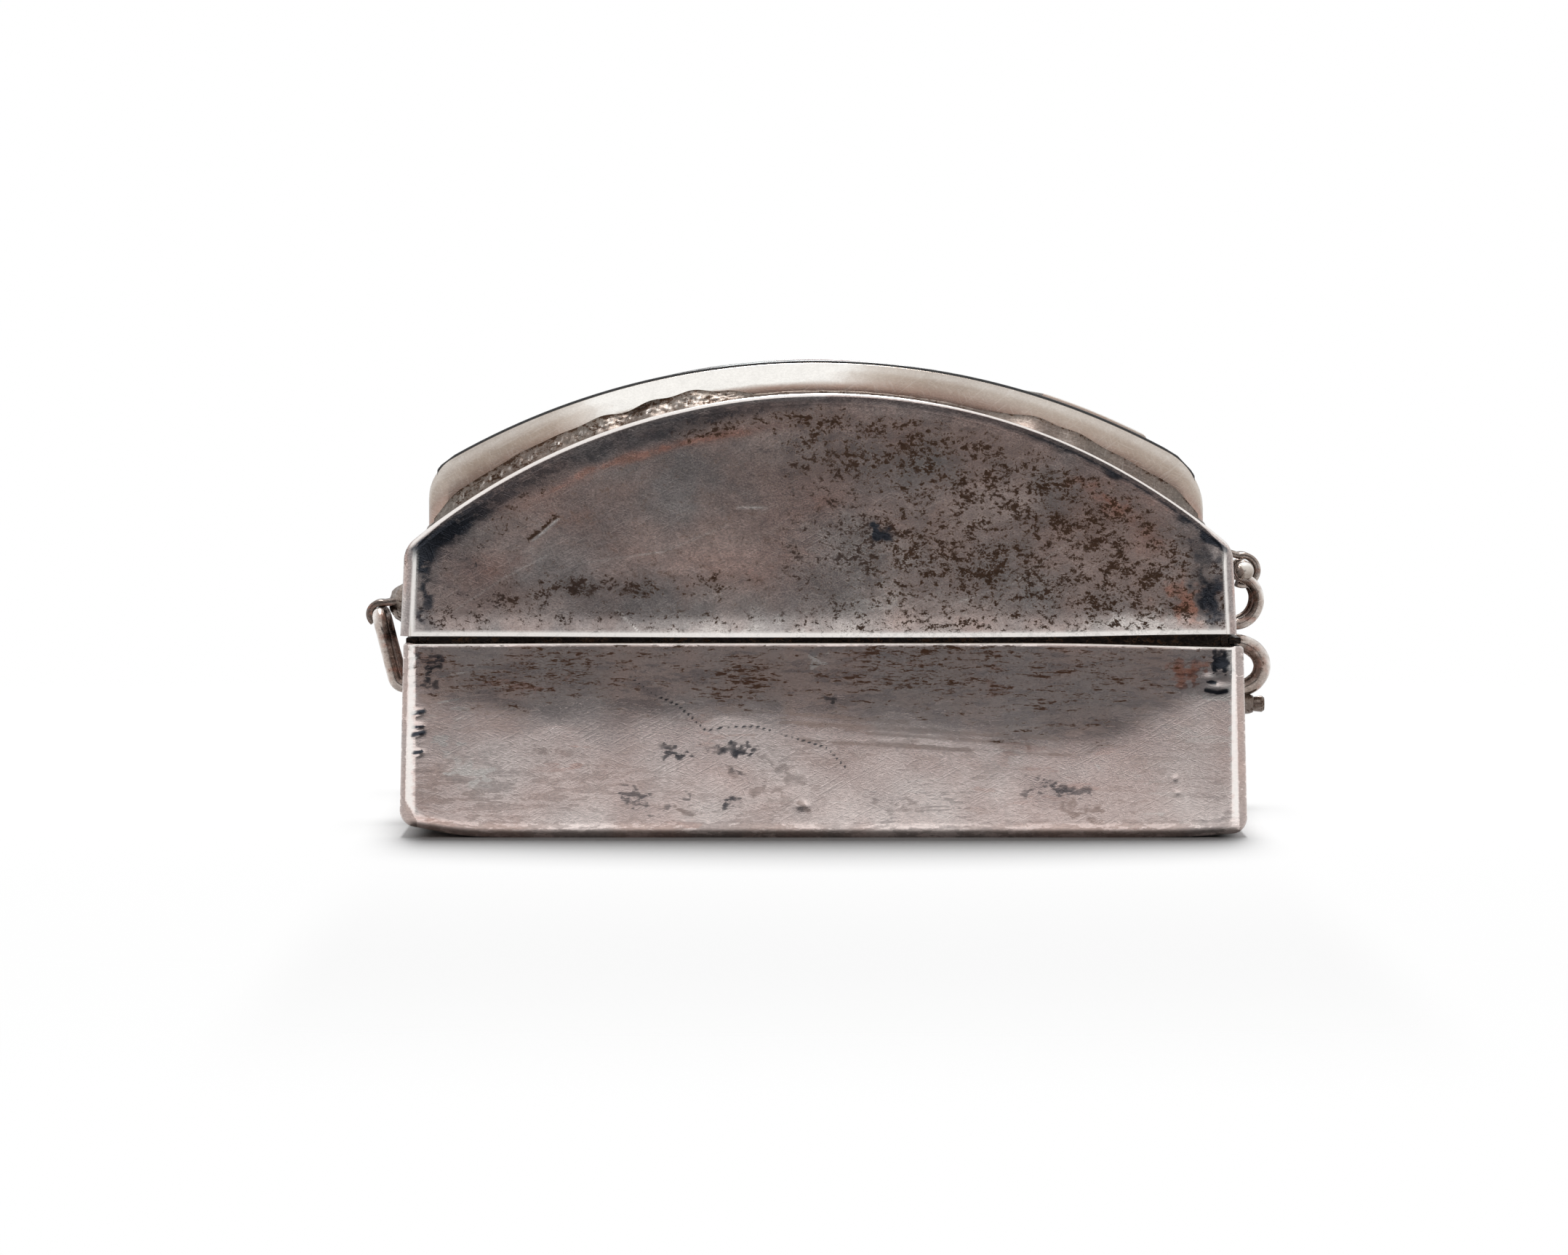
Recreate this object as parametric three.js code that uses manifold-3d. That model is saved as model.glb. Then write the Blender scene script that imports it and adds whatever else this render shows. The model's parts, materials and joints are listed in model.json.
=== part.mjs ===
// A keepsake box made of silver sheet: a low tray and a hinged, arched lid whose top is set with stone inlay.
// Millimetres, +Z up. The origin is the middle of the tray's underside. The lid is hinged on the -X side,
// its pull and the tray's keeper are on the +X side, and the two ends face -Y and +Y.

import * as THREE from 'three';
import { mergeVertices } from 'three/addons/utils/BufferGeometryUtils.js';
import Module from 'manifold-3d';

const wasm = await Module();
wasm.setup();

// Sheet and joints
const SHEET = 1.0;
const SOLDER_GAP = 0.1;

// Tray
const TRAY_WIDTH = 80.2;
const TRAY_LENGTH = 102;
const TRAY_HEIGHT = 18.2;
const TRAY_LEAN = 0.4;
const FLOOR_THICKNESS = 2.0;
const FOOT_RADIUS = 2.0;
const CORNER_RADIUS = 1.8;
const END_RETURN = 3.0;

// Inner collar that guides the lid
const COLLAR_THICKNESS = 0.8;
const COLLAR_DEPTH = 6.0;
const COLLAR_RISE = 2.0;
const COLLAR_GAP = 0.3;

// Lid
const SEAM_GAP = 0.8;
const LID_SETBACK = 0.3;
const LID_LEAN = 0.4;
const SHOULDER_HEIGHT = 7.6;
const SHOULDER_RADIUS = 2.6;
const ROOF_RISE = 15.3;

// Bezel and inlay
const BEZEL_SIDE_INSET = 3.1;
const BEZEL_SHIFT = -0.7;
const BEZEL_INSET = 2.4;
const BEZEL_WALL = 0.8;
const BEZEL_CORNER = 2.0;
const BEZEL_RISE = 2.75;
const BEZEL_ROUND = 2.4;
const CROWN_FLATTER = 11.62;
const STONE_THICKNESS = 1.2;
const PANEL_RAISE = 0.4;
const PANEL_RIM = 0.9;
const CHANNEL = 0.6;
const END_STRIP = 6.0;
const HINGE_STRIP = 4.7;
const MIDDLE_STRIP = 8.8;
const PULL_STRIP = 4.1;
const BAR_PANEL_WIDTH = 10;
const BAR_COUNT = 5;
const LOZENGE_BAND = 5.0;

// Hinge
const HINGE_SPACING = 48;
const HINGE_WIRE = 1.35;
const HINGE_PLAY = 0.15;
const HINGE_OUT = 3.1;
const HINGE_RISE = 1.2;
const HINGE_STRAP = 0.75;
const HINGE_STRAP_WIDTH = 4.0;
const HINGE_STRAP_FOOT = 2.8;
const HINGE_LOOP_WIDTH = 9.0;
const HINGE_LOOP_BEND = 1.6;
const HINGE_LOOP_DROP = 6.0;
const HINGE_LOOP_STANDOFF = 1.7;

// Pull on the lid
const PULL_OUT = 2.8;
const PULL_RISE = 4.75;
const PULL_STRAP = 0.75;
const PULL_STRAP_WIDTH = 5.0;
const PULL_STRAP_FOOT = 3.9;
const PULL_PIN = 1.0;
const PULL_PIN_FIT = 0.1;
const PULL_BALL = 1.85;
const BAIL_WIRE = 1.15;
const BAIL_EYE = 2.0;
const BAIL_SIDE_PLAY = 0.3;
const BAIL_BULGE = 2.1;
const BAIL_DROP = 5.4;
const BAIL_BEND = 2.2;
const BAIL_REST = 0.3;

// Keeper loop and stud on the tray
const KEEPER_WIRE = 1.55;
const KEEPER_DROP = 4.2;
const KEEPER_RADIUS = 2.33;
const KEEPER_REACH = 5.0;
const STUD_RADIUS = 1.05;
const STUD_TIP_RADIUS = 0.85;
const STUD_REACH = 5.3;
const STUD_PAD = 4.4;

// How finely curves are drawn
const ARC_STEPS = 16;
const FILLET_STEPS = 5;
const CORNER_STEPS = 4;
const CROWN_STEPS = 32;
const WIRE_SIDES = 8;
const WIRE_STEPS = 30;
const BORE_STEPS = 16;

// Heights and outlines that follow from the sizes above
const LID_WIDTH = TRAY_WIDTH - 2 * LID_SETBACK;
const LID_LENGTH = TRAY_LENGTH - 2 * LID_SETBACK;
const LID_BOTTOM = TRAY_HEIGHT + SEAM_GAP;
const SHOULDER = new THREE.Vector2(LID_WIDTH / 2 - LID_LEAN, LID_BOTTOM + SHOULDER_HEIGHT);
const ROOF_TOP = SHOULDER.y + ROOF_RISE;
const ROOF_RADIUS = (SHOULDER.x ** 2 + ROOF_RISE ** 2) / (2 * ROOF_RISE);
const ROOF_CENTRE = new THREE.Vector2(0, ROOF_TOP - ROOF_RADIUS);
const BEZEL_WIDTH = LID_WIDTH - 2 * BEZEL_SIDE_INSET;
const BEZEL_LENGTH = LID_LENGTH - 2 * BEZEL_INSET;
const BEZEL_TOP = ROOF_TOP + BEZEL_RISE;
const CROWN_RADIUS = ROOF_RADIUS + CROWN_FLATTER;
const HINGE_LOOP_FOOT = TRAY_HEIGHT - HINGE_LOOP_DROP;
const KEEPER_HEIGHT = TRAY_HEIGHT - KEEPER_DROP;
const CUT_MARGIN = 10;
const MERGE_TOLERANCE = 1e-5;
const LONGEST_EASE = 0.49;

// A finish, as the colour, roughness and metalness of its material
const finish = (color, roughness, metalness) => () => (
  new THREE.MeshStandardMaterial({ color, roughness, metalness })
);
const silver = finish('#8f8480', 0.28, 1);
const brightSilver = finish('#c9c1ba', 0.22, 1);
const darkSilver = finish('#5d524c', 0.4, 1);
const jet = finish('#17171a', 0.25, 0);
const turquoise = finish('#2f9a9b', 0.35, 0);
const coral = finish('#b23a2a', 0.35, 0);
const shell = finish('#e6dfd3', 0.3, 0);

const box = new THREE.Group();

// Adds one named piece to the box.
function piece(name, geometry, material) {
  const mesh = new THREE.Mesh(geometry, material);
  mesh.name = name;
  box.add(mesh);
  return mesh;
}

// Turns a closed geometry into a solid that can be cut and joined.
function solidOf(geometry) {
  const bare = geometry.clone();
  bare.deleteAttribute('normal');
  bare.deleteAttribute('uv');
  const merged = mergeVertices(bare, MERGE_TOLERANCE);
  const vertProperties = new Float32Array(merged.getAttribute('position').array);
  const triVerts = new Uint32Array(merged.getIndex().array);
  return new wasm.Manifold(new wasm.Mesh({ numProp: 3, vertProperties, triVerts }));
}

// Turns a solid back into a geometry.
function geometryOf(solid) {
  const mesh = solid.getMesh();
  const geometry = new THREE.BufferGeometry();
  geometry.setAttribute('position', new THREE.BufferAttribute(new Float32Array(mesh.vertProperties), 3));
  geometry.setIndex(new THREE.BufferAttribute(new Uint32Array(mesh.triVerts), 1));
  geometry.computeVertexNormals();
  return geometry;
}

const cut = (body, tool) => geometryOf(solidOf(body).subtract(solidOf(tool)));
const join = (one, other) => geometryOf(solidOf(one).add(solidOf(other)));
const common = (one, other) => geometryOf(solidOf(one).intersect(solidOf(other)));

// A block between two corners.
function block(low, high) {
  const size = high.map((value, axis) => value - low[axis]);
  const geometry = new THREE.BoxGeometry(...size);
  geometry.translate(...low.map((value, axis) => value + size[axis] / 2));
  return geometry;
}

// An outline in plan, drawn upwards from one height to another.
function prism(shape, bottom, top) {
  const geometry = new THREE.ExtrudeGeometry(shape, { depth: top - bottom, bevelEnabled: false });
  geometry.translate(0, 0, bottom);
  return geometry;
}

// An outline in X and Z, drawn along Y from one place to another.
function prismAlongY(shape, near, far) {
  const geometry = new THREE.ExtrudeGeometry(shape, { depth: far - near, bevelEnabled: false });
  geometry.rotateX(Math.PI / 2);
  geometry.translate(0, far, 0);
  return geometry;
}

// Points round a rectangle with round corners, centred on the origin.
function roundedRectangle(width, length, radius) {
  const points = [];
  const cornerX = width / 2 - radius;
  const cornerY = length / 2 - radius;
  const signs = [[1, 1], [-1, 1], [-1, -1], [1, -1]];
  signs.forEach(([signX, signY], corner) => {
    for (let step = 0; step <= CORNER_STEPS; step += 1) {
      const angle = (corner + step / CORNER_STEPS) * Math.PI / 2;
      const x = signX * cornerX + radius * Math.cos(angle);
      const y = signY * cornerY + radius * Math.sin(angle);
      points.push(new THREE.Vector2(x, y));
    }
  });
  return points;
}

// A closed body through convex outlines that have equally many points, one at each height.
function loft(outlines, heights) {
  const count = outlines[0].length;
  const positions = outlines.flatMap((outline, level) => outline.flatMap((p) => [p.x, p.y, heights[level]]));
  const index = [];
  for (let level = 0; level < outlines.length - 1; level += 1) {
    for (let i = 0; i < count; i += 1) {
      const a = level * count + i;
      const b = level * count + (i + 1) % count;
      index.push(a, b, b + count, a, b + count, a + count);
    }
  }
  const top = (outlines.length - 1) * count;
  for (let i = 1; i < count - 1; i += 1) {
    index.push(0, i + 1, i);
    index.push(top, top + i, top + i + 1);
  }
  const geometry = new THREE.BufferGeometry();
  geometry.setAttribute('position', new THREE.Float32BufferAttribute(positions, 3));
  geometry.setIndex(index);
  geometry.computeVertexNormals();
  return geometry;
}

// A round wire through corner points, each corner eased over the bend length.
function bentWire(corners, bend, diameter) {
  const route = new THREE.CurvePath();
  let from = corners[0];
  for (let i = 1; i < corners.length - 1; i += 1) {
    const before = corners[i].clone().sub(corners[i - 1]);
    const after = corners[i + 1].clone().sub(corners[i]);
    const ease = Math.min(bend, before.length() * LONGEST_EASE, after.length() * LONGEST_EASE);
    const start = corners[i].clone().addScaledVector(before.normalize(), -ease);
    const end = corners[i].clone().addScaledVector(after.normalize(), ease);
    route.add(new THREE.LineCurve3(from, start));
    route.add(new THREE.QuadraticBezierCurve3(start, corners[i], end));
    from = end;
  }
  route.add(new THREE.LineCurve3(from, corners[corners.length - 1]));
  const section = new THREE.Shape().absarc(0, 0, diameter / 2, 0, 2 * Math.PI, false);
  const ring = new THREE.Shape(section.getSpacedPoints(WIRE_SIDES).slice(0, WIRE_SIDES));
  return new THREE.ExtrudeGeometry(ring, { extrudePath: route, steps: WIRE_STEPS, bevelEnabled: false });
}

// A round bar along Y.
function barAlongY(radius, near, far) {
  const geometry = new THREE.CylinderGeometry(radius, radius, far - near, BORE_STEPS);
  geometry.translate(0, (near + far) / 2, 0);
  return geometry;
}

// Tray floor, with its edge rounded under
function trayFloor() {
  const round = Math.min(FOOT_RADIUS, FLOOR_THICKNESS);
  const outlines = [];
  const heights = [];
  for (let step = 0; step <= FILLET_STEPS; step += 1) {
    const angle = step / FILLET_STEPS * Math.PI / 2;
    const inset = round * (1 - Math.sin(angle));
    const corner = Math.max(CORNER_RADIUS - inset, SOLDER_GAP);
    outlines.push(roundedRectangle(TRAY_WIDTH - 2 * inset, TRAY_LENGTH - 2 * inset, corner));
    heights.push(round * (1 - Math.cos(angle)));
  }
  if (FLOOR_THICKNESS > round) {
    outlines.push(roundedRectangle(TRAY_WIDTH, TRAY_LENGTH, CORNER_RADIUS));
    heights.push(FLOOR_THICKNESS);
  }
  return loft(outlines, heights);
}

// How far the tray's wall has leant in at a height.
const WALL_FOOT = FLOOR_THICKNESS + SOLDER_GAP;
const trayLean = (z) => TRAY_LEAN * (z - WALL_FOOT) / (TRAY_HEIGHT - WALL_FOOT);
const trayWallX = (z) => TRAY_WIDTH / 2 - trayLean(z);

// The tray's outer or inner wall face as a block, from one height to another.
function trayBlock(inset, bottom, top) {
  const radius = Math.max(CORNER_RADIUS - inset, SOLDER_GAP);
  const outlines = [bottom, top].map((z) => {
    const shrink = 2 * (inset + trayLean(z));
    return roundedRectangle(TRAY_WIDTH - shrink, TRAY_LENGTH - shrink, radius);
  });
  return loft(outlines, [bottom, top]);
}

// Tray walls: two ends that turn the corners, and two sides between them
function buildTray() {
  const inside = trayBlock(SHEET, WALL_FOOT - SHEET, TRAY_HEIGHT + SHEET);
  const walls = cut(trayBlock(0, WALL_FOOT, TRAY_HEIGHT), inside);
  const reach = TRAY_WIDTH;
  const joint = TRAY_LENGTH / 2 - END_RETURN;
  const far = TRAY_LENGTH;
  const tall = TRAY_HEIGHT + CUT_MARGIN;
  piece('tray_floor', trayFloor(), silver());
  piece('tray_front_end', common(walls, block([-reach, -far, 0], [reach, -joint, tall])), silver());
  piece('tray_back_end', common(walls, block([-reach, joint, 0], [reach, far, tall])), silver());
  const sideEnd = joint - SOLDER_GAP;
  piece('tray_hinge_side', common(walls, block([-reach, -sideEnd, 0], [0, sideEnd, tall])), silver());
  piece('tray_pull_side', common(walls, block([0, -sideEnd, 0], [reach, sideEnd, tall])), silver());
}

// Collar strips inside the tray's rim, standing up into the lid
function buildCollar() {
  const lidLean = LID_LEAN * Math.max(COLLAR_RISE - SEAM_GAP, 0) / SHOULDER_HEIGHT;
  const rimX = TRAY_WIDTH / 2 - TRAY_LEAN - SHEET;
  const rimY = TRAY_LENGTH / 2 - TRAY_LEAN - SHEET;
  const outX = Math.min(rimX, LID_WIDTH / 2 - lidLean - SHEET) - COLLAR_GAP;
  const outY = Math.min(rimY, LID_LENGTH / 2 - SHEET) - COLLAR_GAP;
  const corner = Math.max(CORNER_RADIUS - SHEET, COLLAR_THICKNESS + SOLDER_GAP);
  const low = TRAY_HEIGHT - COLLAR_DEPTH;
  const high = TRAY_HEIGHT + COLLAR_RISE;
  const inX = outX - COLLAR_THICKNESS;
  const inY = outY - COLLAR_THICKNESS;
  const endX = outX - corner;
  const endY = outY - corner;
  piece('collar_front', block([-endX, -outY, low], [endX, -inY, high]), darkSilver());
  piece('collar_back', block([-endX, inY, low], [endX, outY, high]), darkSilver());
  piece('collar_hinge_side', block([-outX, -endY, low], [-inX, endY, high]), darkSilver());
  piece('collar_pull_side', block([inX, -endY, low], [outX, endY, high]), darkSilver());
}

// The lid's cross section, a set distance inside its outer face: up the wall on the +X side, round the
// shoulder, over the arch and down the other side.
function lidOutline(inset) {
  const along = new THREE.Vector2(-LID_LEAN, SHOULDER_HEIGHT).normalize();
  const inward = new THREE.Vector2(-along.y, along.x);
  const radius = ROOF_RADIUS - inset;
  const round = Math.max(SHOULDER_RADIUS - inset, SOLDER_GAP);
  const foot = new THREE.Vector2(LID_WIDTH / 2, LID_BOTTOM).addScaledVector(inward, inset);
  foot.addScaledVector(along, (LID_BOTTOM - foot.y) / along.y);
  const base = foot.clone().addScaledVector(inward, round).sub(ROOF_CENTRE);
  const half = base.dot(along);
  const climb = -half + Math.sqrt(half ** 2 - base.lengthSq() + (radius - round) ** 2);
  const centre = foot.clone().addScaledVector(inward, round).addScaledVector(along, climb);
  const wallAngle = Math.atan2(-inward.y, -inward.x);
  const roofAngle = centre.clone().sub(ROOF_CENTRE).angle();
  const side = [foot];
  for (let step = 0; step <= FILLET_STEPS; step += 1) {
    const angle = wallAngle + (roofAngle - wallAngle) * step / FILLET_STEPS;
    side.push(new THREE.Vector2(Math.cos(angle), Math.sin(angle)).multiplyScalar(round).add(centre));
  }
  for (let step = 1; step < ARC_STEPS; step += 1) {
    const angle = roofAngle + (Math.PI / 2 - roofAngle) * step / ARC_STEPS;
    side.push(new THREE.Vector2(Math.cos(angle), Math.sin(angle)).multiplyScalar(radius).add(ROOF_CENTRE));
  }
  const apex = new THREE.Vector2(0, ROOF_CENTRE.y + radius);
  const mirrored = side.map((p) => new THREE.Vector2(-p.x, p.y)).reverse();
  return [...side, apex, ...mirrored];
}

// Lid: one sheet bent over the arch and down both sides, closed by two end plates
function buildLid() {
  const half = LID_LENGTH / 2;
  const sheet = new THREE.Shape([...lidOutline(0), ...lidOutline(SHEET).reverse()]);
  piece('lid_roof', prismAlongY(sheet, -half, half), silver());
  const plate = new THREE.Shape(lidOutline(SHEET + SOLDER_GAP));
  piece('lid_front_end', prismAlongY(plate, -half, -half + SHEET), silver());
  piece('lid_back_end', prismAlongY(plate, half - SHEET, half), silver());
}

// Height of the roof's outer face, or of a face parallel to it.
function roofHeight(x, offset) {
  return ROOF_CENTRE.y + Math.sqrt((ROOF_RADIUS + offset) ** 2 - x ** 2);
}

// Height of the bezel's top edge, which is rounded over at the two sides.
function crownHeight(x, offset) {
  const across = Math.abs(x - BEZEL_SHIFT);
  const crown = BEZEL_TOP - CROWN_RADIUS + Math.sqrt(CROWN_RADIUS ** 2 - across ** 2);
  const past = Math.min(Math.max(across - (BEZEL_WIDTH / 2 - BEZEL_ROUND), 0), BEZEL_ROUND);
  return crown + offset - BEZEL_ROUND + Math.sqrt(BEZEL_ROUND ** 2 - past ** 2);
}

// The space between two such faces, over the whole lid.
function layer(lower, upper) {
  const half = BEZEL_WIDTH / 2;
  const across = [];
  for (let step = 0; step <= CROWN_STEPS; step += 1) {
    across.push(BEZEL_SHIFT - half + BEZEL_WIDTH * step / CROWN_STEPS);
  }
  const bottom = across.map((x) => new THREE.Vector2(x, lower(x)));
  const top = across.map((x) => new THREE.Vector2(x, upper(x))).reverse();
  return prismAlongY(new THREE.Shape([...bottom, ...top]), -LID_LENGTH / 2, LID_LENGTH / 2);
}

const onRoof = (x) => roofHeight(x, SOLDER_GAP);
const bezelLayer = layer(onRoof, (x) => crownHeight(x, 0));
const bedLayer = layer(onRoof, (x) => crownHeight(x, -STONE_THICKNESS - SOLDER_GAP));
const fieldLayer = layer((x) => crownHeight(x, -STONE_THICKNESS), (x) => crownHeight(x, 0));
const panelLayer = layer((x) => crownHeight(x, -STONE_THICKNESS), (x) => crownHeight(x, PANEL_RAISE));

// An outline in plan, moved to the bezel's centre and cut to one layer of the top.
function inlay(name, points, depth, material, holePoints) {
  const shape = new THREE.Shape(points);
  if (holePoints) {
    shape.holes.push(new THREE.Path(holePoints));
  }
  const column = prism(shape, LID_BOTTOM, BEZEL_TOP + CUT_MARGIN);
  column.translate(BEZEL_SHIFT, 0, 0);
  piece(name, common(column, depth), material);
}

const rectangle = (left, right, front, back) => [
  new THREE.Vector2(left, front),
  new THREE.Vector2(right, front),
  new THREE.Vector2(right, back),
  new THREE.Vector2(left, back),
];

// A lozenge round a centre, drawn in from its widest size by a distance square to its sides.
function lozenge(centreX, halfX, halfY, drawn) {
  const keep = 1 - drawn * Math.hypot(halfX, halfY) / (halfX * halfY);
  return [
    new THREE.Vector2(centreX + halfX * keep, 0),
    new THREE.Vector2(centreX, halfY * keep),
    new THREE.Vector2(centreX - halfX * keep, 0),
    new THREE.Vector2(centreX, -halfY * keep),
  ];
}

// Inside faces of the bezel, less the gap that the stones are bedded in
const FIELD_X = BEZEL_WIDTH / 2 - BEZEL_WALL - SOLDER_GAP;
const FIELD_Y = BEZEL_LENGTH / 2 - BEZEL_WALL - SOLDER_GAP;
const PANEL_Y = FIELD_Y - END_STRIP - SOLDER_GAP;
const BAR_RIGHT = FIELD_X - PULL_STRIP - SOLDER_GAP;
const BAR_LEFT = BAR_RIGHT - BAR_PANEL_WIDTH;
const MAIN_LEFT = -FIELD_X + HINGE_STRIP + SOLDER_GAP;
const MAIN_RIGHT = BAR_LEFT - MIDDLE_STRIP - 2 * SOLDER_GAP;

// Bezel band, the bed under the stones, and the plain jet field round the two panels
function buildBezel() {
  const outer = roundedRectangle(BEZEL_WIDTH, BEZEL_LENGTH, BEZEL_CORNER);
  const innerCorner = Math.max(BEZEL_CORNER - BEZEL_WALL, SOLDER_GAP);
  const inner = roundedRectangle(BEZEL_WIDTH - 2 * BEZEL_WALL, BEZEL_LENGTH - 2 * BEZEL_WALL, innerCorner);
  inlay('bezel', outer, bezelLayer, brightSilver(), inner);
  inlay('inlay_bed', roundedRectangle(2 * FIELD_X, 2 * FIELD_Y, innerCorner), bedLayer, darkSilver());
  [['front', -1], ['back', 1]].forEach(([end, sign]) => {
    const edge = [
      new THREE.Vector2(-FIELD_X, sign * (PANEL_Y + SOLDER_GAP)),
      new THREE.Vector2(-FIELD_X, sign * (FIELD_Y - innerCorner)),
      new THREE.Vector2(-FIELD_X + innerCorner, sign * FIELD_Y),
      new THREE.Vector2(FIELD_X - innerCorner, sign * FIELD_Y),
      new THREE.Vector2(FIELD_X, sign * (FIELD_Y - innerCorner)),
      new THREE.Vector2(FIELD_X, sign * (PANEL_Y + SOLDER_GAP)),
    ];
    inlay(`field_${end}`, edge, fieldLayer, jet());
  });
  const strips = [
    ['hinge_side', -FIELD_X, MAIN_LEFT - SOLDER_GAP],
    ['middle', MAIN_RIGHT + SOLDER_GAP, BAR_LEFT - SOLDER_GAP],
    ['pull_side', BAR_RIGHT + SOLDER_GAP, FIELD_X],
  ];
  strips.forEach(([place, left, right]) => {
    inlay(`field_${place}`, rectangle(left, right, -PANEL_Y, PANEL_Y), fieldLayer, jet());
  });
}

// A raised panel's silver rim; gives back the rectangle inside it.
function panelRim(name, left, right) {
  const inside = [left + PANEL_RIM, right - PANEL_RIM, -PANEL_Y + PANEL_RIM, PANEL_Y - PANEL_RIM];
  inlay(name, rectangle(left, right, -PANEL_Y, PANEL_Y), panelLayer, brightSilver(), rectangle(...inside));
  return {
    left: inside[0] + SOLDER_GAP,
    right: inside[1] - SOLDER_GAP,
    reach: inside[3] - SOLDER_GAP,
  };
}

// Main panel: a lozenge within a lozenge, with a corner stone in each corner
function buildMainPanel() {
  const { left, right, reach } = panelRim('main_rim', MAIN_LEFT, MAIN_RIGHT);
  const centre = (left + right) / 2;
  const halfX = (right - left) / 2;
  const ring = (drawn) => lozenge(centre, halfX, reach, drawn);
  const band = CHANNEL + SOLDER_GAP;
  const heart = band + LOZENGE_BAND + SOLDER_GAP;
  inlay('outer_channel', ring(0), panelLayer, brightSilver(), ring(CHANNEL));
  inlay('lozenge_band', ring(band), panelLayer, shell(), ring(band + LOZENGE_BAND));
  inlay('inner_channel', ring(heart), panelLayer, brightSilver(), ring(heart + CHANNEL));
  inlay('lozenge_heart', ring(heart + band), panelLayer, turquoise());
  const slope = Math.hypot(halfX, reach) / (halfX * reach);
  const clearX = halfX * SOLDER_GAP * slope;
  const clearY = reach * SOLDER_GAP * slope;
  const corners = [
    ['front_left', -1, -1],
    ['front_right', 1, -1],
    ['back_right', 1, 1],
    ['back_left', -1, 1],
  ];
  corners.forEach(([place, signX, signY]) => {
    const points = [
      new THREE.Vector2(centre + signX * halfX, signY * clearY),
      new THREE.Vector2(centre + signX * halfX, signY * reach),
      new THREE.Vector2(centre + signX * clearX, signY * reach),
    ];
    inlay(`corner_${place}`, points, panelLayer, coral());
  });
}

// Side panel: a row of bars with a thin channel between each two
function buildBarPanel() {
  const { left, right, reach } = panelRim('bar_rim', BAR_LEFT, BAR_RIGHT);
  const between = CHANNEL + 2 * SOLDER_GAP;
  const bar = (2 * reach - (BAR_COUNT - 1) * between) / BAR_COUNT;
  for (let i = 0; i < BAR_COUNT; i += 1) {
    const front = -reach + i * (bar + between);
    const stone = i % 2 === 0 ? turquoise() : jet();
    inlay(`bar_${i + 1}`, rectangle(left, right, front, front + bar), panelLayer, stone);
    if (i < BAR_COUNT - 1) {
      const start = front + bar + SOLDER_GAP;
      const strip = rectangle(left, right, start, start + CHANNEL);
      inlay(`bar_channel_${i + 1}`, strip, panelLayer, brightSilver());
    }
  }
}

// Points along an arc round a centre, from one angle to another.
function arcPoints(centre, radius, from, to, steps) {
  const points = [];
  for (let step = 0; step <= steps; step += 1) {
    const angle = from + (to - from) * step / steps;
    points.push(new THREE.Vector2(Math.cos(angle), Math.sin(angle)).multiplyScalar(radius).add(centre));
  }
  return points;
}

// A strap bent round a bar along Y, with its flat foot against the lid's wall on one side.
function strapEye(side, axis, bore, outer, footLow, footHigh, width) {
  const wall = side * (LID_WIDTH / 2 + SOLDER_GAP);
  const bend = arcPoints(axis, outer, -Math.PI / 2, -Math.PI / 2 + side * Math.PI, BORE_STEPS / 2);
  const low = new THREE.Vector2(wall, footLow);
  const high = new THREE.Vector2(wall, footHigh);
  const shape = new THREE.Shape([low, ...bend, high]);
  const eye = arcPoints(axis, bore, 0, 2 * Math.PI, BORE_STEPS).slice(1);
  shape.holes.push(new THREE.Path(eye));
  return prismAlongY(shape, -width / 2, width / 2);
}

// Hinge: wire loops on the tray's wall, and straps on the lid that turn on the loops' top bars
function buildHinge() {
  const axis = new THREE.Vector2(-TRAY_WIDTH / 2 - HINGE_OUT, LID_BOTTOM + HINGE_RISE);
  const wall = -trayWallX(HINGE_LOOP_FOOT) - SOLDER_GAP;
  const foot = [wall, HINGE_LOOP_FOOT];
  const knee = [wall - HINGE_LOOP_STANDOFF, HINGE_LOOP_FOOT];
  const side = HINGE_LOOP_WIDTH / 2;
  const route = [
    [foot, -side],
    [knee, -side],
    [axis.toArray(), -side],
    [axis.toArray(), side],
    [knee, side],
    [foot, side],
  ];
  const corners = route.map(([[x, z], y]) => new THREE.Vector3(x, y, z));
  const bore = HINGE_WIRE / 2 + HINGE_PLAY;
  const footLow = LID_BOTTOM + SOLDER_GAP;
  const footHigh = footLow + HINGE_STRAP_FOOT;
  const strap = strapEye(-1, axis, bore, bore + HINGE_STRAP, footLow, footHigh, HINGE_STRAP_WIDTH);
  [['front', -1], ['back', 1]].forEach(([end, sign]) => {
    const station = sign * HINGE_SPACING / 2;
    const loop = bentWire(corners, HINGE_LOOP_BEND, HINGE_WIRE);
    piece(`hinge_loop_${end}`, loop, darkSilver()).position.y = station;
    piece(`hinge_strap_${end}`, strap, darkSilver()).position.y = station;
  });
}

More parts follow.
